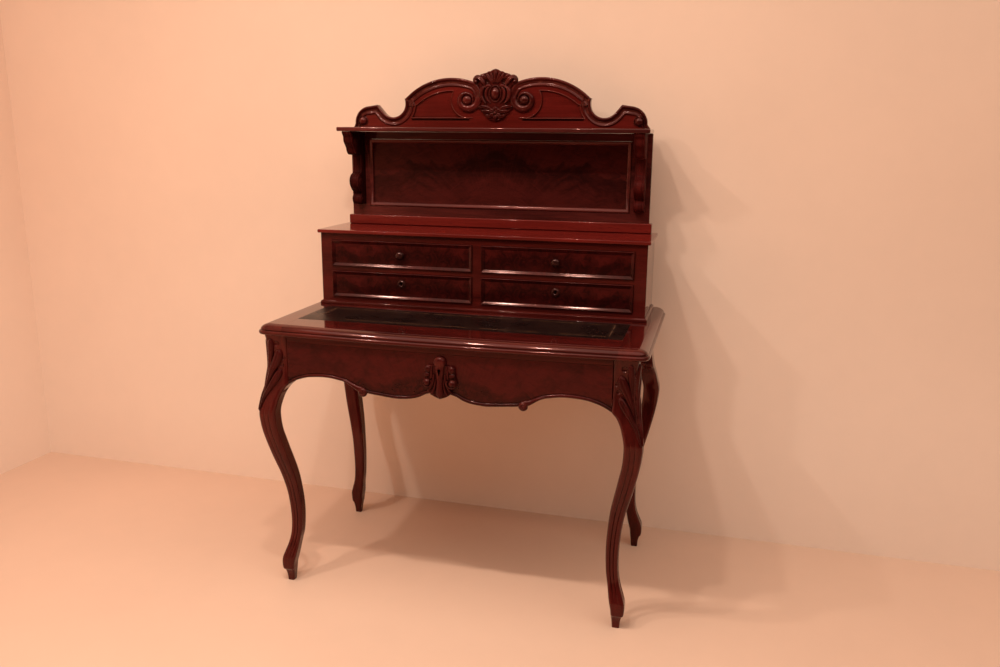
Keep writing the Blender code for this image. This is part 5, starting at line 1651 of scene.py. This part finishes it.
@dataclass
class Gallery:
    """Plinth, back frame with its flame panel, shelf and the two brackets under it."""

    back_y: float = 0.2503
    base: float = 1.0193
    height: float = 0.216
    reach: float = 0.1
    inner_x: float = 0.4102
    outer_x: float = 0.4412
    columns: int = 14
    moulding_width: float = 0.0115
    edge_round: Flat = (0.78, 0.0035)  # where a bracket's edge starts to round, and how deep
    groove: Spot = (0.6, 0.1, 0.0014)  # a bracket's groove: place across, width and depth
    swelling: float = 0.001
    eye_proud: float = 0.0022
    flame_z: float = 1.113

    # Shares of the panel moulding's width inwards, and of its depth out
    moulding_shares = (
        (0.0, 0.0), (0.0, 0.62), (0.03, 0.8), (0.09, 0.94), (0.19, 1.0), (0.27, 0.995), (0.34, 0.97),
        (0.47, 0.908), (0.6, 0.836), (0.73, 0.754), (0.86, 0.661), (0.95, 0.55), (1.0, 0.38), (1.0, 0.0),
    )

    # Reach out from the back frame, then height, as shares, from the bottom up the front
    bracket_shares = (
        (0.26, 0.0), (0.33, 0.02), (0.37, 0.06), (0.35, 0.11), (0.27, 0.155), (0.33, 0.18), (0.44, 0.22),
        (0.53, 0.27), (0.555, 0.32), (0.53, 0.37), (0.46, 0.41), (0.36, 0.43), (0.29, 0.445), (0.26, 0.48),
        (0.25, 0.58), (0.27, 0.675), (0.42, 0.685), (0.58, 0.69), (0.68, 0.72), (0.73, 0.77), (0.8, 0.81),
        (0.88, 0.85), (0.91, 0.89), (0.92, 0.93), (0.99, 0.965), (1.0, 1.0),
    )

    # Round ends of a bracket's scrolls: reach and height as shares, then radius
    scroll_eyes = ((0.38, 0.315, 0.0125), (0.66, 0.86, 0.0135), (0.26, 0.075, 0.007))

    def build_bracket(self, side: int, place: str) -> None:
        """One scrolled bracket, with a rounded edge and a groove down each side of its front.

        Args:
            side: Which end of the shelf it is at.
            place: The same in a word.
        """
        foot, head, back = self.base, self.base + self.height, self.back_y - GAP
        path = [(back - reach * self.reach, foot + up * self.height)
                for reach, up in flowing(self.bracket_shares, 3)]
        normals = left_normals(path)
        middle, half = (self.inner_x + self.outer_x) / 2, (self.outer_x - self.inner_x) / 2
        (round_from, round_depth), (place_across, width, depth_most) = self.edge_round, self.groove
        rings = []
        for i in range(-self.columns, self.columns + 1):
            across = i / self.columns
            x = side * (middle + half * across)
            depth = round_depth * eased(round_from, 1.0, abs(across)) ** 2
            depth += depth_most * math.exp(-((abs(across) - place_across) / width) ** 2)
            depth -= self.swelling * (1 - across ** 2)
            ring = [Vector((x, back, foot))]
            for (y, z), (ny, nz) in zip(path, normals):
                ring.append(Vector((x, y - ny * depth, min(max(z - nz * depth, foot), head))))
            rings.append(ring + [Vector((x, back, head))])
        parts = [skin("shaft", rings)]
        for reach, up, radius in self.scroll_eyes:
            for x in (self.inner_x, self.outer_x):
                centre = (side * x, self.back_y - reach * self.reach, foot + up * self.height)
                parts.append(dome("scroll_eye", centre, (self.eye_proud, radius, radius)))
        dress(joined("bracket_%s_carved" % place, parts), DULL_CARVED, Grain.UPRIGHT, ["bracket_" + place])

    def build_panel_moulding(self) -> None:
        """The moulding round the flame panel, mitred at its corners."""
        low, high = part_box("panel_moulding")
        width, depth = self.moulding_width, high.y - low.y
        rings = []
        for right, up in ((0, 0), (1, 0), (1, 1), (0, 1), (0, 0)):
            ring = []
            for share, proud in self.moulding_shares:
                x = high.x - share * width if right else low.x + share * width
                z = high.z - share * width if up else low.z + share * width
                ring.append(Vector((x, high.y - proud * depth, z)))
            rings.append(ring)
        moulding = skin("panel_moulding_polished", rings, capped=False)
        # Its wood is lighter as painted fill light in the shade under the shelf
        dress(moulding, FRAME_WOOD, Grain.ALONG, ["panel_moulding"], angle=40.0)

    def build(self) -> None:
        """Dress the gallery."""
        # The back frame and shelf get lighter wood as painted fill light in the shade under the shelf
        # The plinth gets the lighter copy of the mahogany, painted light for its lit top
        for node, finish in (("plinth", TOP_LIT_MAHOGANY), ("back_frame", FRAME_WOOD), ("shelf", FRAME_WOOD)):
            dress_copy(node, finish, Grain.ALONG, 0.0008)
        self.build_panel_moulding()
        dress_copy("back_panel", PANEL_FLAME, Grain.ALONG, 0.0003, "_flame", shift=(0.0, 0.0, -self.flame_z))
        for side, place in SIDES:
            self.build_bracket(side, place)


@dataclass
class Cresting:
    """The shaped board over the shelf, its moulding that winds into volutes, and the carving between."""

    base: float = 1.2479
    face: float = 0.2503
    thickness: float = 0.017
    half: float = 0.4455
    arch_height: float = 0.1415
    arch_radius: float = 0.20235
    arch_x: float = 0.13371
    arch_outer: float = 0.2753
    arch_inner: float = 0.062
    notch: Spot = (0.316, 0.0697, 0.04)
    shoulder: Spot = (0.389, 0.0135, 0.048)
    tip: Flat = (0.365, 0.0655)
    boss: Spot = (0.4135, 0.019, 0.0125)
    volute: Flat = (0.085, 0.0785)
    band: float = 0.025
    coil_height: float = 0.0062
    coil_round: Spot = (0.03, 0.94, 0.6)  # where the half turn over it starts, its share, and its fullness
    sunk_inset: float = 0.036
    sunk_end: float = 0.03
    sunk_bottom: float = 0.028
    sunk_depth: float = 0.0035
    sunk_ring: float = 0.05
    carved_ground: float = 0.006
    shoulder_turns: Flat = (-2.0, 82.0)  # where each arc of the board's edge starts and ends, in degrees
    notch_turns: Flat = (-36.0, -200.0)
    arch_steps: int = 36
    sunk_outer_end: float = 184.0  # where the arcs of the sunk panel's edge start and end
    sunk_top_end: float = 32.0
    sunk_inner_turns: Flat = (26.0, -92.0)
    sunk_foot: float = 0.004
    foot: Flat = (0.004, 0.001)  # where the moulding starts, in from the board's end and over its foot
    foot_width: float = 0.0165  # the moulding's width there
    coiled: float = 0.3  # how coiled its section is where it meets the volute
    whole_coil: float = 0.012  # the width from which the coil stands out in full
    grows_over: int = 20  # points over which it grows to its full width
    coils_over: int = 14
    quirk_low: float = 0.0072  # the quirk's edges, under the sunk panel
    quirk_high: float = 0.0022
    quirk_slant: float = 0.004
    cutter_out: float = 0.004
    bead_half: float = 0.0017  # the bead in the sunk panel's edge
    bead_rise: float = 0.0022
    bead_sunk: float = 0.0004
    quirk_depth: float = 0.01  # with how far its cutter stands out
    boss_out: float = 0.0015
    boss_proud: float = 0.0095
    boss_ring: Spot = (0.0022, 0.0014, 0.003)  # room round the boss, half width, height
    lift: float = 0.0052  # how far out of the board the leaves start
    petals: int = 6
    rim_radii: Flat = (0.0168, 0.0224)
    rim_half: float = 0.0019
    rim_rise: float = 0.0046
    petal_reaches: tuple[float, ...] = (0.004, 0.009, 0.014, 0.018)
    petal_half: tuple[float, ...] = (0.002, 0.006, 0.0066, 0.0022)
    petal_rise: float = 0.0052
    petal_crease: float = 0.45
    petal_up: float = 0.0022

    # Lumps: place along the board, over its foot and out of its face or of the leaves, then half sizes
    volute_eye = ((0.0855, 0.0785, 0.004), (0.015, 0.0098, 0.0142))
    pit = ((0.0245, 0.129, 0.0008), (0.0066, 0.0056, 0.0072))
    knob = ((0.057, 0.13, 0.002), (0.0062, 0.0088, 0.0062))
    oval = ((0.0, 0.0965, 0.0), (0.0128, 0.0105, 0.0182))
    rosette_disc = ((0.0, 0.0425, 0.0), (0.0165, 0.0042, 0.0165))
    rosette_heart = ((0.0, 0.0425, 0.006), (0.0046, 0.0034, 0.0046))

    # Share of the band's width in from the board's edge, then how far the moulding stands out
    moulding = (
        (0.0, -0.001), (0.0, 0.0044), (0.03, 0.0058), (0.1, 0.007), (0.19, 0.0072), (0.27, 0.0062),
        (0.32, 0.0042), (0.36, 0.002), (0.44, 0.0008), (0.54, 0.0004), (0.64, 0.0006), (0.72, 0.0014),
        (0.78, 0.0026), (0.82, 0.0034), (0.88, 0.0036), (0.94, 0.0028), (0.98, 0.0012), (1.0, 0.0002),
        (1.0, -0.001),
    )

    # The volute's coil: turn in degrees, outer radius, width, how coiled its section is, lift
    coil = (
        (150, 0.047, 0.0235, 0.45, 0.0006), (180, 0.043, 0.0215, 0.8, 0.0015),
        (225, 0.0375, 0.0205, 1.0, 0.0028), (270, 0.0335, 0.0195, 1.0, 0.004),
        (315, 0.0312, 0.0168, 1.0, 0.0048), (360, 0.0295, 0.0146, 1.0, 0.0055),
        (405, 0.0268, 0.012, 1.0, 0.0062), (450, 0.0238, 0.0092, 1.0, 0.0066),
        (495, 0.0216, 0.0068, 1.0, 0.0064), (540, 0.02, 0.0044, 1.0, 0.0056),
        (575, 0.0188, 0.002, 1.0, 0.0046),
    )

    # Right half of the carving's ground, from its top to its foot
    ground = (
        (0.0, 0.1655), (0.008, 0.163), (0.015, 0.159), (0.021, 0.1585), (0.028, 0.1545), (0.036, 0.153),
        (0.044, 0.149), (0.052, 0.147), (0.06, 0.141), (0.0665, 0.133), (0.065, 0.1255),
        (0.058, 0.1215), (0.05, 0.1195),
        (0.045, 0.113), (0.0455, 0.1), (0.042, 0.086), (0.035, 0.076), (0.03, 0.0685),
        (0.033, 0.065), (0.043, 0.064), (0.053, 0.06), (0.047, 0.052), (0.038, 0.044),
        (0.028, 0.032), (0.016, 0.0235), (0.0, 0.0185),
    )

    # Leaves on each side of the middle: points of the line, half widths, height, crease
    leaves = (
        (((0.0035, 0.127), (0.008, 0.138), (0.012, 0.149), (0.0145, 0.1575)),
         (0.0022, 0.0048, 0.005, 0.0014), 0.007, 0.3),
        (((0.006, 0.1255), (0.014, 0.1345), (0.022, 0.1455), (0.0275, 0.154)),
         (0.0022, 0.005, 0.0054, 0.0014), 0.0066, 0.3),
        (((0.024, 0.139), (0.033, 0.1425), (0.041, 0.147), (0.044, 0.1485)),
         (0.0025, 0.0056, 0.0052, 0.0018), 0.0066, 0.35),
        (((0.03, 0.117), (0.035, 0.127), (0.043, 0.137), (0.053, 0.142), (0.0605, 0.1375),
          (0.0615, 0.131), (0.056, 0.1275)),
         (0.003, 0.0066, 0.0078, 0.0072, 0.006, 0.005, 0.003), 0.0098, 0.15),
        (((0.012, 0.116), (0.018, 0.1185), (0.026, 0.1175), (0.03, 0.112)),
         (0.002, 0.0046, 0.0046, 0.002), 0.008, 0.1),
        (((0.028, 0.119), (0.0385, 0.1085), (0.0415, 0.0935), (0.037, 0.08), (0.027, 0.069)),
         (0.003, 0.0062, 0.0066, 0.0058, 0.0022), 0.009, 0.12),
        (((0.014, 0.118), (0.0245, 0.109), (0.028, 0.095), (0.024, 0.0805), (0.014, 0.07)),
         (0.0025, 0.0046, 0.005, 0.0044, 0.002), 0.0062, 0.0),
        (((0.01, 0.05), (0.024, 0.057), (0.038, 0.0598), (0.051, 0.0596)),
         (0.0025, 0.006, 0.0056, 0.0016), 0.0064, 0.4),
        (((0.01, 0.044), (0.022, 0.047), (0.034, 0.0475), (0.043, 0.048)),
         (0.0025, 0.0056, 0.005, 0.0014), 0.0056, 0.4),
        (((0.005, 0.034), (0.014, 0.031), (0.022, 0.0325), (0.029, 0.036)),
         (0.002, 0.0048, 0.0044, 0.0012), 0.0054, 0.4),
    )
    middle_leaves = (
        (((0.0, 0.126), (0.0, 0.138), (0.0, 0.152), (0.0, 0.1645)),
         (0.0022, 0.005, 0.0062, 0.0014), 0.0078, 0.3),
        (((0.0, 0.034), (0.0, 0.027), (0.0, 0.0195)), (0.0035, 0.0048, 0.001), 0.0056, 0.4),
    )

    def arch_z(self, x: float, inset: float = 0.0) -> float:
        """Height of the arch over the board's foot."""
        drop = (self.arch_radius - inset) ** 2 - (x - self.arch_x) ** 2
        return self.arch_height - self.arch_radius + math.sqrt(max(drop, 0.0))

    def outline(self) -> list[Flat]:
        """Right half of the board's outline, from its foot to the middle, without the foot.

        Returns:
            The points of the outline.
        """
        steps = self.arch_steps
        shoulder = arc(self.shoulder[:2], self.shoulder[2], *self.shoulder_turns, 16)
        notch = arc(self.notch[:2], self.notch[2], *self.notch_turns, 26)
        xs = [self.arch_outer + (self.arch_inner - self.arch_outer) * i / steps for i in range(steps + 1)]
        return shoulder + [self.tip] + notch + [(x, self.arch_z(x)) for x in xs]

    def at(self, x: float, z: float, out: float) -> Vector:
        """A point over the board's face."""
        return Vector((x, self.face - out, self.base + z))

    def moulding_rings(self) -> list[Ring]:
        """Sections of the right moulding, from the foot of the shoulder to the volute's eye.

        Returns:
            The points of each section.
        """
        path = [(self.half - self.foot[0], self.foot[1])] + self.outline()
        count = len(path)
        rows = [(self.foot_width + (self.band - self.foot_width) * eased(0, self.grows_over, i),
                 self.coiled * eased(count - self.coils_over, count, i), 0.0) for i in range(count)]
        cx, cz = self.volute
        dx, dz = path[-1][0] - cx, path[-1][1] - cz
        first = (math.degrees(math.atan2(dz, dx)), math.hypot(dx, dz), self.band, self.coiled, 0.0)
        for turn, reach, width, coiled, lift in flowing((first, *self.coil), 7)[1:]:
            angle = math.radians(turn)
            path.append((cx + reach * math.cos(angle), cz + reach * math.sin(angle)))
            rows.append((width, coiled, lift))
        first_share, all_shares, fullness = self.coil_round
        rings = []
        for (x, z), (nx, nz), (width, coiled, lift) in zip(path, left_normals(path), rows):
            ring = []
            for share, out in self.moulding:
                if out > 0:
                    turn = math.pi * (first_share + all_shares * share)
                    round_out = self.coil_height * math.sin(turn) ** fullness * min(1.0, width / self.whole_coil)
                    out = out * (1 - coiled) + round_out * coiled + lift
                ring.append(self.at(x + nx * share * width, z + nz * share * width, out))
            rings.append(ring)
        return rings

    def sunk(self) -> list[Flat]:
        """Outline of the right sunk panel, whose ends follow the notch and the volute.

        Returns:
            The points of the outline.
        """
        notch_x, notch_z, notch_r = self.notch
        reach = notch_r + self.sunk_end
        low = math.degrees(math.asin((self.sunk_bottom - notch_z) / reach))
        outer = arc((notch_x, notch_z), reach, 180 - low, self.sunk_outer_end, 8)
        top_end = self.volute[0] + self.sunk_ring * math.cos(math.radians(self.sunk_top_end))
        xs = [outer[-1][0] + (top_end - outer[-1][0]) * i / 20 for i in range(1, 21)]
        top = [(x, self.arch_z(x, self.sunk_inset)) for x in xs]
        inner = arc(self.volute, self.sunk_ring, *self.sunk_inner_turns, 20)
        return outer + top + inner + [(inner[-1][0] - self.sunk_foot, self.sunk_bottom)]

    def lump(self, shape: tuple[Spot, Spot], lift: float, side: int = 1, rings: int = 12) -> Piece:
        """A rounded lump of the carving.

        Args:
            shape: Its place and half sizes.
            lift: What its place out is counted from, over the board's face.
            side: Which side of the middle it is on.
            rings: Faces from pole to pole, half as many as round it.

        Returns:
            The lump.
        """
        (x, z, out), radii = shape
        return dome("lump", self.at(side * x, z, lift + out), radii, rings, 2 * rings)

    def build_board(self) -> None:
        """The board, with a beaded sunk panel under each arch and a dark quirk along its foot."""
        right = [(self.half, 0.0)] + self.outline()
        outline = right + [(-x, z) for x, z in right[::-1]]
        board = panel("board", [(x, self.base + z) for x, z in outline], self.face, self.thickness)
        ease(board, 0.0008, 2, 50.0)
        parts = [board]
        start = self.face - self.cutter_out
        foot = self.base + self.sunk_bottom
        low, high = foot - self.quirk_low, foot - self.quirk_high
        for side, _ in SIDES:
            outline = [(side * x, self.base + z) for x, z in self.sunk()]
            cut(board, panel("sink", outline, start, self.cutter_out + self.sunk_depth))
            near, far = min(abs(x) for x, _ in outline), max(abs(x) for x, _ in outline)
            quirk = ((near, low), (far - self.quirk_slant, low), (far, high), (near, high))
            cut(board, panel("quirk", [(side * x, z) for x, z in quirk], start, self.quirk_depth))
            loop = outline + outline[:1]
            parts.append(bent_rib("bead", loop, [self.bead_half] * len(loop), self.bead_rise,
                                  self.face + self.bead_sunk, steps=2))
        dress(joined("cresting_board_shaped", parts), RED_FIELD, Grain.ALONG, ["cresting_board"], angle=30.0)

    def build_mouldings(self) -> None:
        """The moulding on each half, with the volute's eye and the boss in the shoulder's scroll."""
        band = skin("band", self.moulding_rings())
        eye = self.lump(self.volute_eye, 0.0)
        x, z, radius = self.boss
        boss = dome("boss", self.at(x, z, self.boss_out), (radius, self.boss_proud, radius), 16, 32)
        room, half, rise = self.boss_ring
        around = arc((x, self.base + z), radius + room, -30, 215, 14)
        ring = bent_rib("ring", around, [half] * len(around), rise, self.face)
        right = joined("cresting_moulding_right", [band, eye, boss, ring])
        left = mirrored(right, "cresting_moulding_left")
        dress(right, CARVED, Grain.ALONG, ["cresting_boss_right"], angle=40.0)
        dress(left, CARVED, Grain.ALONG, ["cresting_boss_left"], angle=40.0)

    def spray(self, points: Sequence[Flat], half: Sequence[float], height: float, crease: float,
              up: float = 0.0) -> Piece:
        """A leaf of the carving.

        Args:
            points: Points of its line, as X and the height over the board's foot.
            half: Half its width at each of them.
            height: How far it stands out.
            crease: The vein along its middle.
            up: How far it is lifted off the other leaves.

        Returns:
            The leaf.
        """
        line = [(x, self.base + z) for x, z in points]
        return bent_rib("leaf", line, half, height, self.face - (self.lift + up), crease)

    def build_carving(self) -> None:
        """Crown of leaves, shield with its oval, rosette and the sprays round it."""
        back = panel("ground", whole(flowing(self.ground, 3), self.base), self.face - self.carved_ground,
                     self.carved_ground - GAP)
        ease(back, *CARVED_EDGE)
        for side, _ in SIDES:
            cut(back, self.lump(self.pit, self.lift, side))
        parts = [back] + [self.lump(self.knob, self.lift, side) for side, _ in SIDES]
        parts += [self.spray(*leaf) for leaf in self.middle_leaves]
        for side, _ in SIDES:
            for points, *rest in self.leaves:
                parts.append(self.spray([(side * x, z) for x, z in points], *rest))
        parts.append(self.lump(self.oval, self.lift, rings=16))
        across, up = self.rim_radii
        rim = [(across * math.cos(math.radians(a)), self.oval[0][1] + up * math.sin(math.radians(a)))
               for a in range(0, 361, 20)]
        parts.append(self.spray(rim, [self.rim_half] * len(rim), self.rim_rise, 0.0))
        parts.append(self.lump(self.rosette_disc, self.lift))
        for k in range(self.petals):
            turn = math.radians(90 + 360 / self.petals * k)
            points = [(r * math.cos(turn), self.rosette_disc[0][1] + r * math.sin(turn))
                      for r in self.petal_reaches]
            parts.append(self.spray(points, self.petal_half, self.petal_rise, self.petal_crease, self.petal_up))
        parts.append(self.lump(self.rosette_heart, self.lift))
        dress(joined("cresting_carving_leaves", parts), CARVED, Grain.UPRIGHT, ["cresting_carving"])

    def build(self) -> None:
        """Dress the cresting."""
        self.build_board()
        self.build_mouldings()
        self.build_carving()


# Room, lamps and camera

@dataclass
class Room:
    """A pale floor and two pale walls, soft lamps and the camera."""

    wall_y: float = 0.376
    wall_x: float = -1.84
    wall_turn: float = -0.016
    corner_y: float = 0.03  # how far the left wall goes past the back one
    left_turn: float = 0.25  # how much further left its near end is
    reach: float = 9.0
    height: float = 4.0
    floor_colour: Spot = (0.7, 0.46, 0.336)
    wall_colour: Spot = (0.87, 0.612, 0.465)
    # The walls are lighter towards the floor: painted light where the lamps overhead reach them less
    lit_wall_foot: Spot = (0.93, 0.725, 0.59)
    foot_height: float = 1.3  # up to which the walls change from one to the other
    mottled: float = 0.9
    world_colour: Spot = (0.6, 0.5, 0.45)
    world_light: float = 0.05
    lamp_colour: Spot = (1.0, 0.88, 0.77)
    ceiling_power: float = 168.0
    ceiling_size: Flat = (8.0, 3.4)
    spot_size: Flat = (0.08, 0.08)

    # Place along X and power of each small lamp under the ceiling
    spots = ((-1.03, 15.0), (-0.39, 13.5), (-0.01, 12.0))

    # The camera's place, its yaw, pitch and roll in degrees, its lens and sensor in millimetres
    eye: Spot = (0.6505, -2.2086, 1.2223)
    turns: Spot = (14.409, 13.001, 0.522)
    lens: float = 30.603
    sensor: float = 36.0
    clip_end: float = 60.0

    def paint(self, name: str, colour: Spot, foot: Spot, rough: float, one_sided: bool) -> bpy.types.Material:
        """Paint for a floor or wall.

        Args:
            name: The material's name.
            colour: Its colour.
            foot: Its colour near the floor, on the walls lighter as painted light.
            rough: Its roughness.
            one_sided: Whether it is clear when it is seen from behind.

        Returns:
            The material.
        """
        material, tree, shader, place = new_material(name)
        cloud = tree.spread(tree.noise(place, 0.9, 3.0, 0.5), 0.3, 0.7)
        share = tree.weighed((cloud, 0.6), (tree.noise(place, 14.0, 4.0, 0.6), 0.4))
        height = tree.add("SeparateXYZ", {0: place}).outputs["Z"]
        # On the walls, lighter towards the floor as painted light
        paint = tree.mixed(tree.spread(height, 0.0, self.foot_height), foot, colour)
        dull = tree.mixed(1.0, paint, (self.mottled,) * 3, "MULTIPLY")
        tree.plug(shader, {"Base Color": tree.mixed(share, dull, paint), "Roughness": rough,
                           "Specular IOR Level": 0.2})
        if one_sided:
            behind = tree.add("NewGeometry").outputs["Backfacing"]
            clear = tree.add("BsdfTransparent").outputs[0]
            mix = tree.add("MixShader", {0: behind, 1: shader.outputs[0], 2: clear}).outputs[0]
            output = next(node for node in tree.tree.nodes if node.type == "OUTPUT_MATERIAL")
            tree.plug(output, {"Surface": mix})
        return material

    def sheet(self, name: str, corners: Sequence[Spot], material: bpy.types.Material) -> None:
        """A flat sheet between four corners.

        Args:
            name: Its name.
            corners: Its corners, row by row.
            material: Its paint.
        """
        clear_bench()
        bpy.ops.mesh.primitive_plane_add(size=1)
        obj = laid_out(name, corners)
        obj.data.update()
        obj.data.materials.append(material)

    def lamp(self, name: str, place: Spot, aim: Spot, size: Flat, power: float) -> None:
        """A soft rectangular lamp.

        Args:
            name: Its name.
            place: Where it hangs.
            aim: What it points at.
            size: Its width and height.
            power: Its power in watts.
        """
        data = bpy.data.lights.new(name, "AREA")
        data.shape, data.size, data.size_y = "RECTANGLE", *size
        data.energy, data.color = power, self.lamp_colour
        obj = bpy.data.objects.new(name, data)
        obj.location = place
        obj.rotation_euler = (Vector(aim) - Vector(place)).to_track_quat("-Z", "Y").to_euler()
        bpy.context.scene.collection.objects.link(obj)

    def camera(self) -> None:
        """The camera, at the photograph's place and angle."""
        yaw, pitch, roll = (math.radians(turn) for turn in self.turns)
        ahead = Vector((-math.sin(yaw) * math.cos(pitch), math.cos(yaw) * math.cos(pitch), -math.sin(pitch)))
        right = ahead.cross(Vector((0, 0, 1))).normalized()
        up = right.cross(ahead)
        x = right * math.cos(roll) + up * math.sin(roll)
        y = up * math.cos(roll) - right * math.sin(roll)
        data = bpy.data.cameras.new("Camera")
        data.lens, data.sensor_width, data.clip_end = self.lens, self.sensor, self.clip_end
        obj = bpy.data.objects.new("Camera", data)
        obj.matrix_world = Matrix.Translation(self.eye) @ Matrix((x, y, -ahead)).transposed().to_4x4()
        bpy.context.scene.collection.objects.link(obj)
        bpy.context.scene.camera = obj

    def build(self) -> None:
        """Floor, walls, lamps, world and camera."""
        scene = bpy.context.scene
        scene.view_settings.view_transform = "Standard"
        r, h = self.reach, self.height
        y0, y1 = self.wall_y - self.wall_turn * r, self.wall_y + self.wall_turn * r
        x0, y2 = self.wall_x - self.left_turn, self.wall_y + self.corner_y
        floor = self.paint("Floor_paint", self.floor_colour, self.floor_colour, 0.55, False)
        wall = self.paint("Wall_paint", self.wall_colour, self.lit_wall_foot, 0.9, True)
        self.sheet("Floor", [(-r, -r, 0), (r, -r, 0), (-r, r, 0), (r, r, 0)], floor)
        self.sheet("Back_wall", [(-r, y0, 0), (r, y1, 0), (-r, y0, h), (r, y1, h)], wall)
        self.sheet("Left_wall", [(x0, -r, 0), (self.wall_x, y2, 0), (x0, -r, h), (self.wall_x, y2, h)], wall)
        scene.world = bpy.data.worlds.new("Room_light")
        scene.world.use_nodes = True
        light = scene.world.node_tree.nodes["Background"].inputs
        light[0].default_value, light[1].default_value = (*self.world_colour, 1), self.world_light
        for number, (x, power) in enumerate(self.spots):
            self.lamp("Ceiling_spot_%d" % number, (x, -1.0, 2.4), (x, -1.6, 0.0), self.spot_size, power)
        self.lamp("Ceiling_light", (0.3, -1.7, 3.1), (0.3, -1.3, 0.0), self.ceiling_size, self.ceiling_power)
        self.camera()


def main() -> None:
    """Dress the table, sub-assembly by sub-assembly."""
    logging.basicConfig(level=logging.INFO, format="%(name)s: %(message)s")
    Room().build()
    base = Base()
    base.build()
    for side, place in SIDES:
        KneeLeaf(base).build(side, place)
    WritingDrawer().build()
    UpperCase().build()
    Gallery().build()
    Cresting().build()


if __name__ == "__main__":
    main()
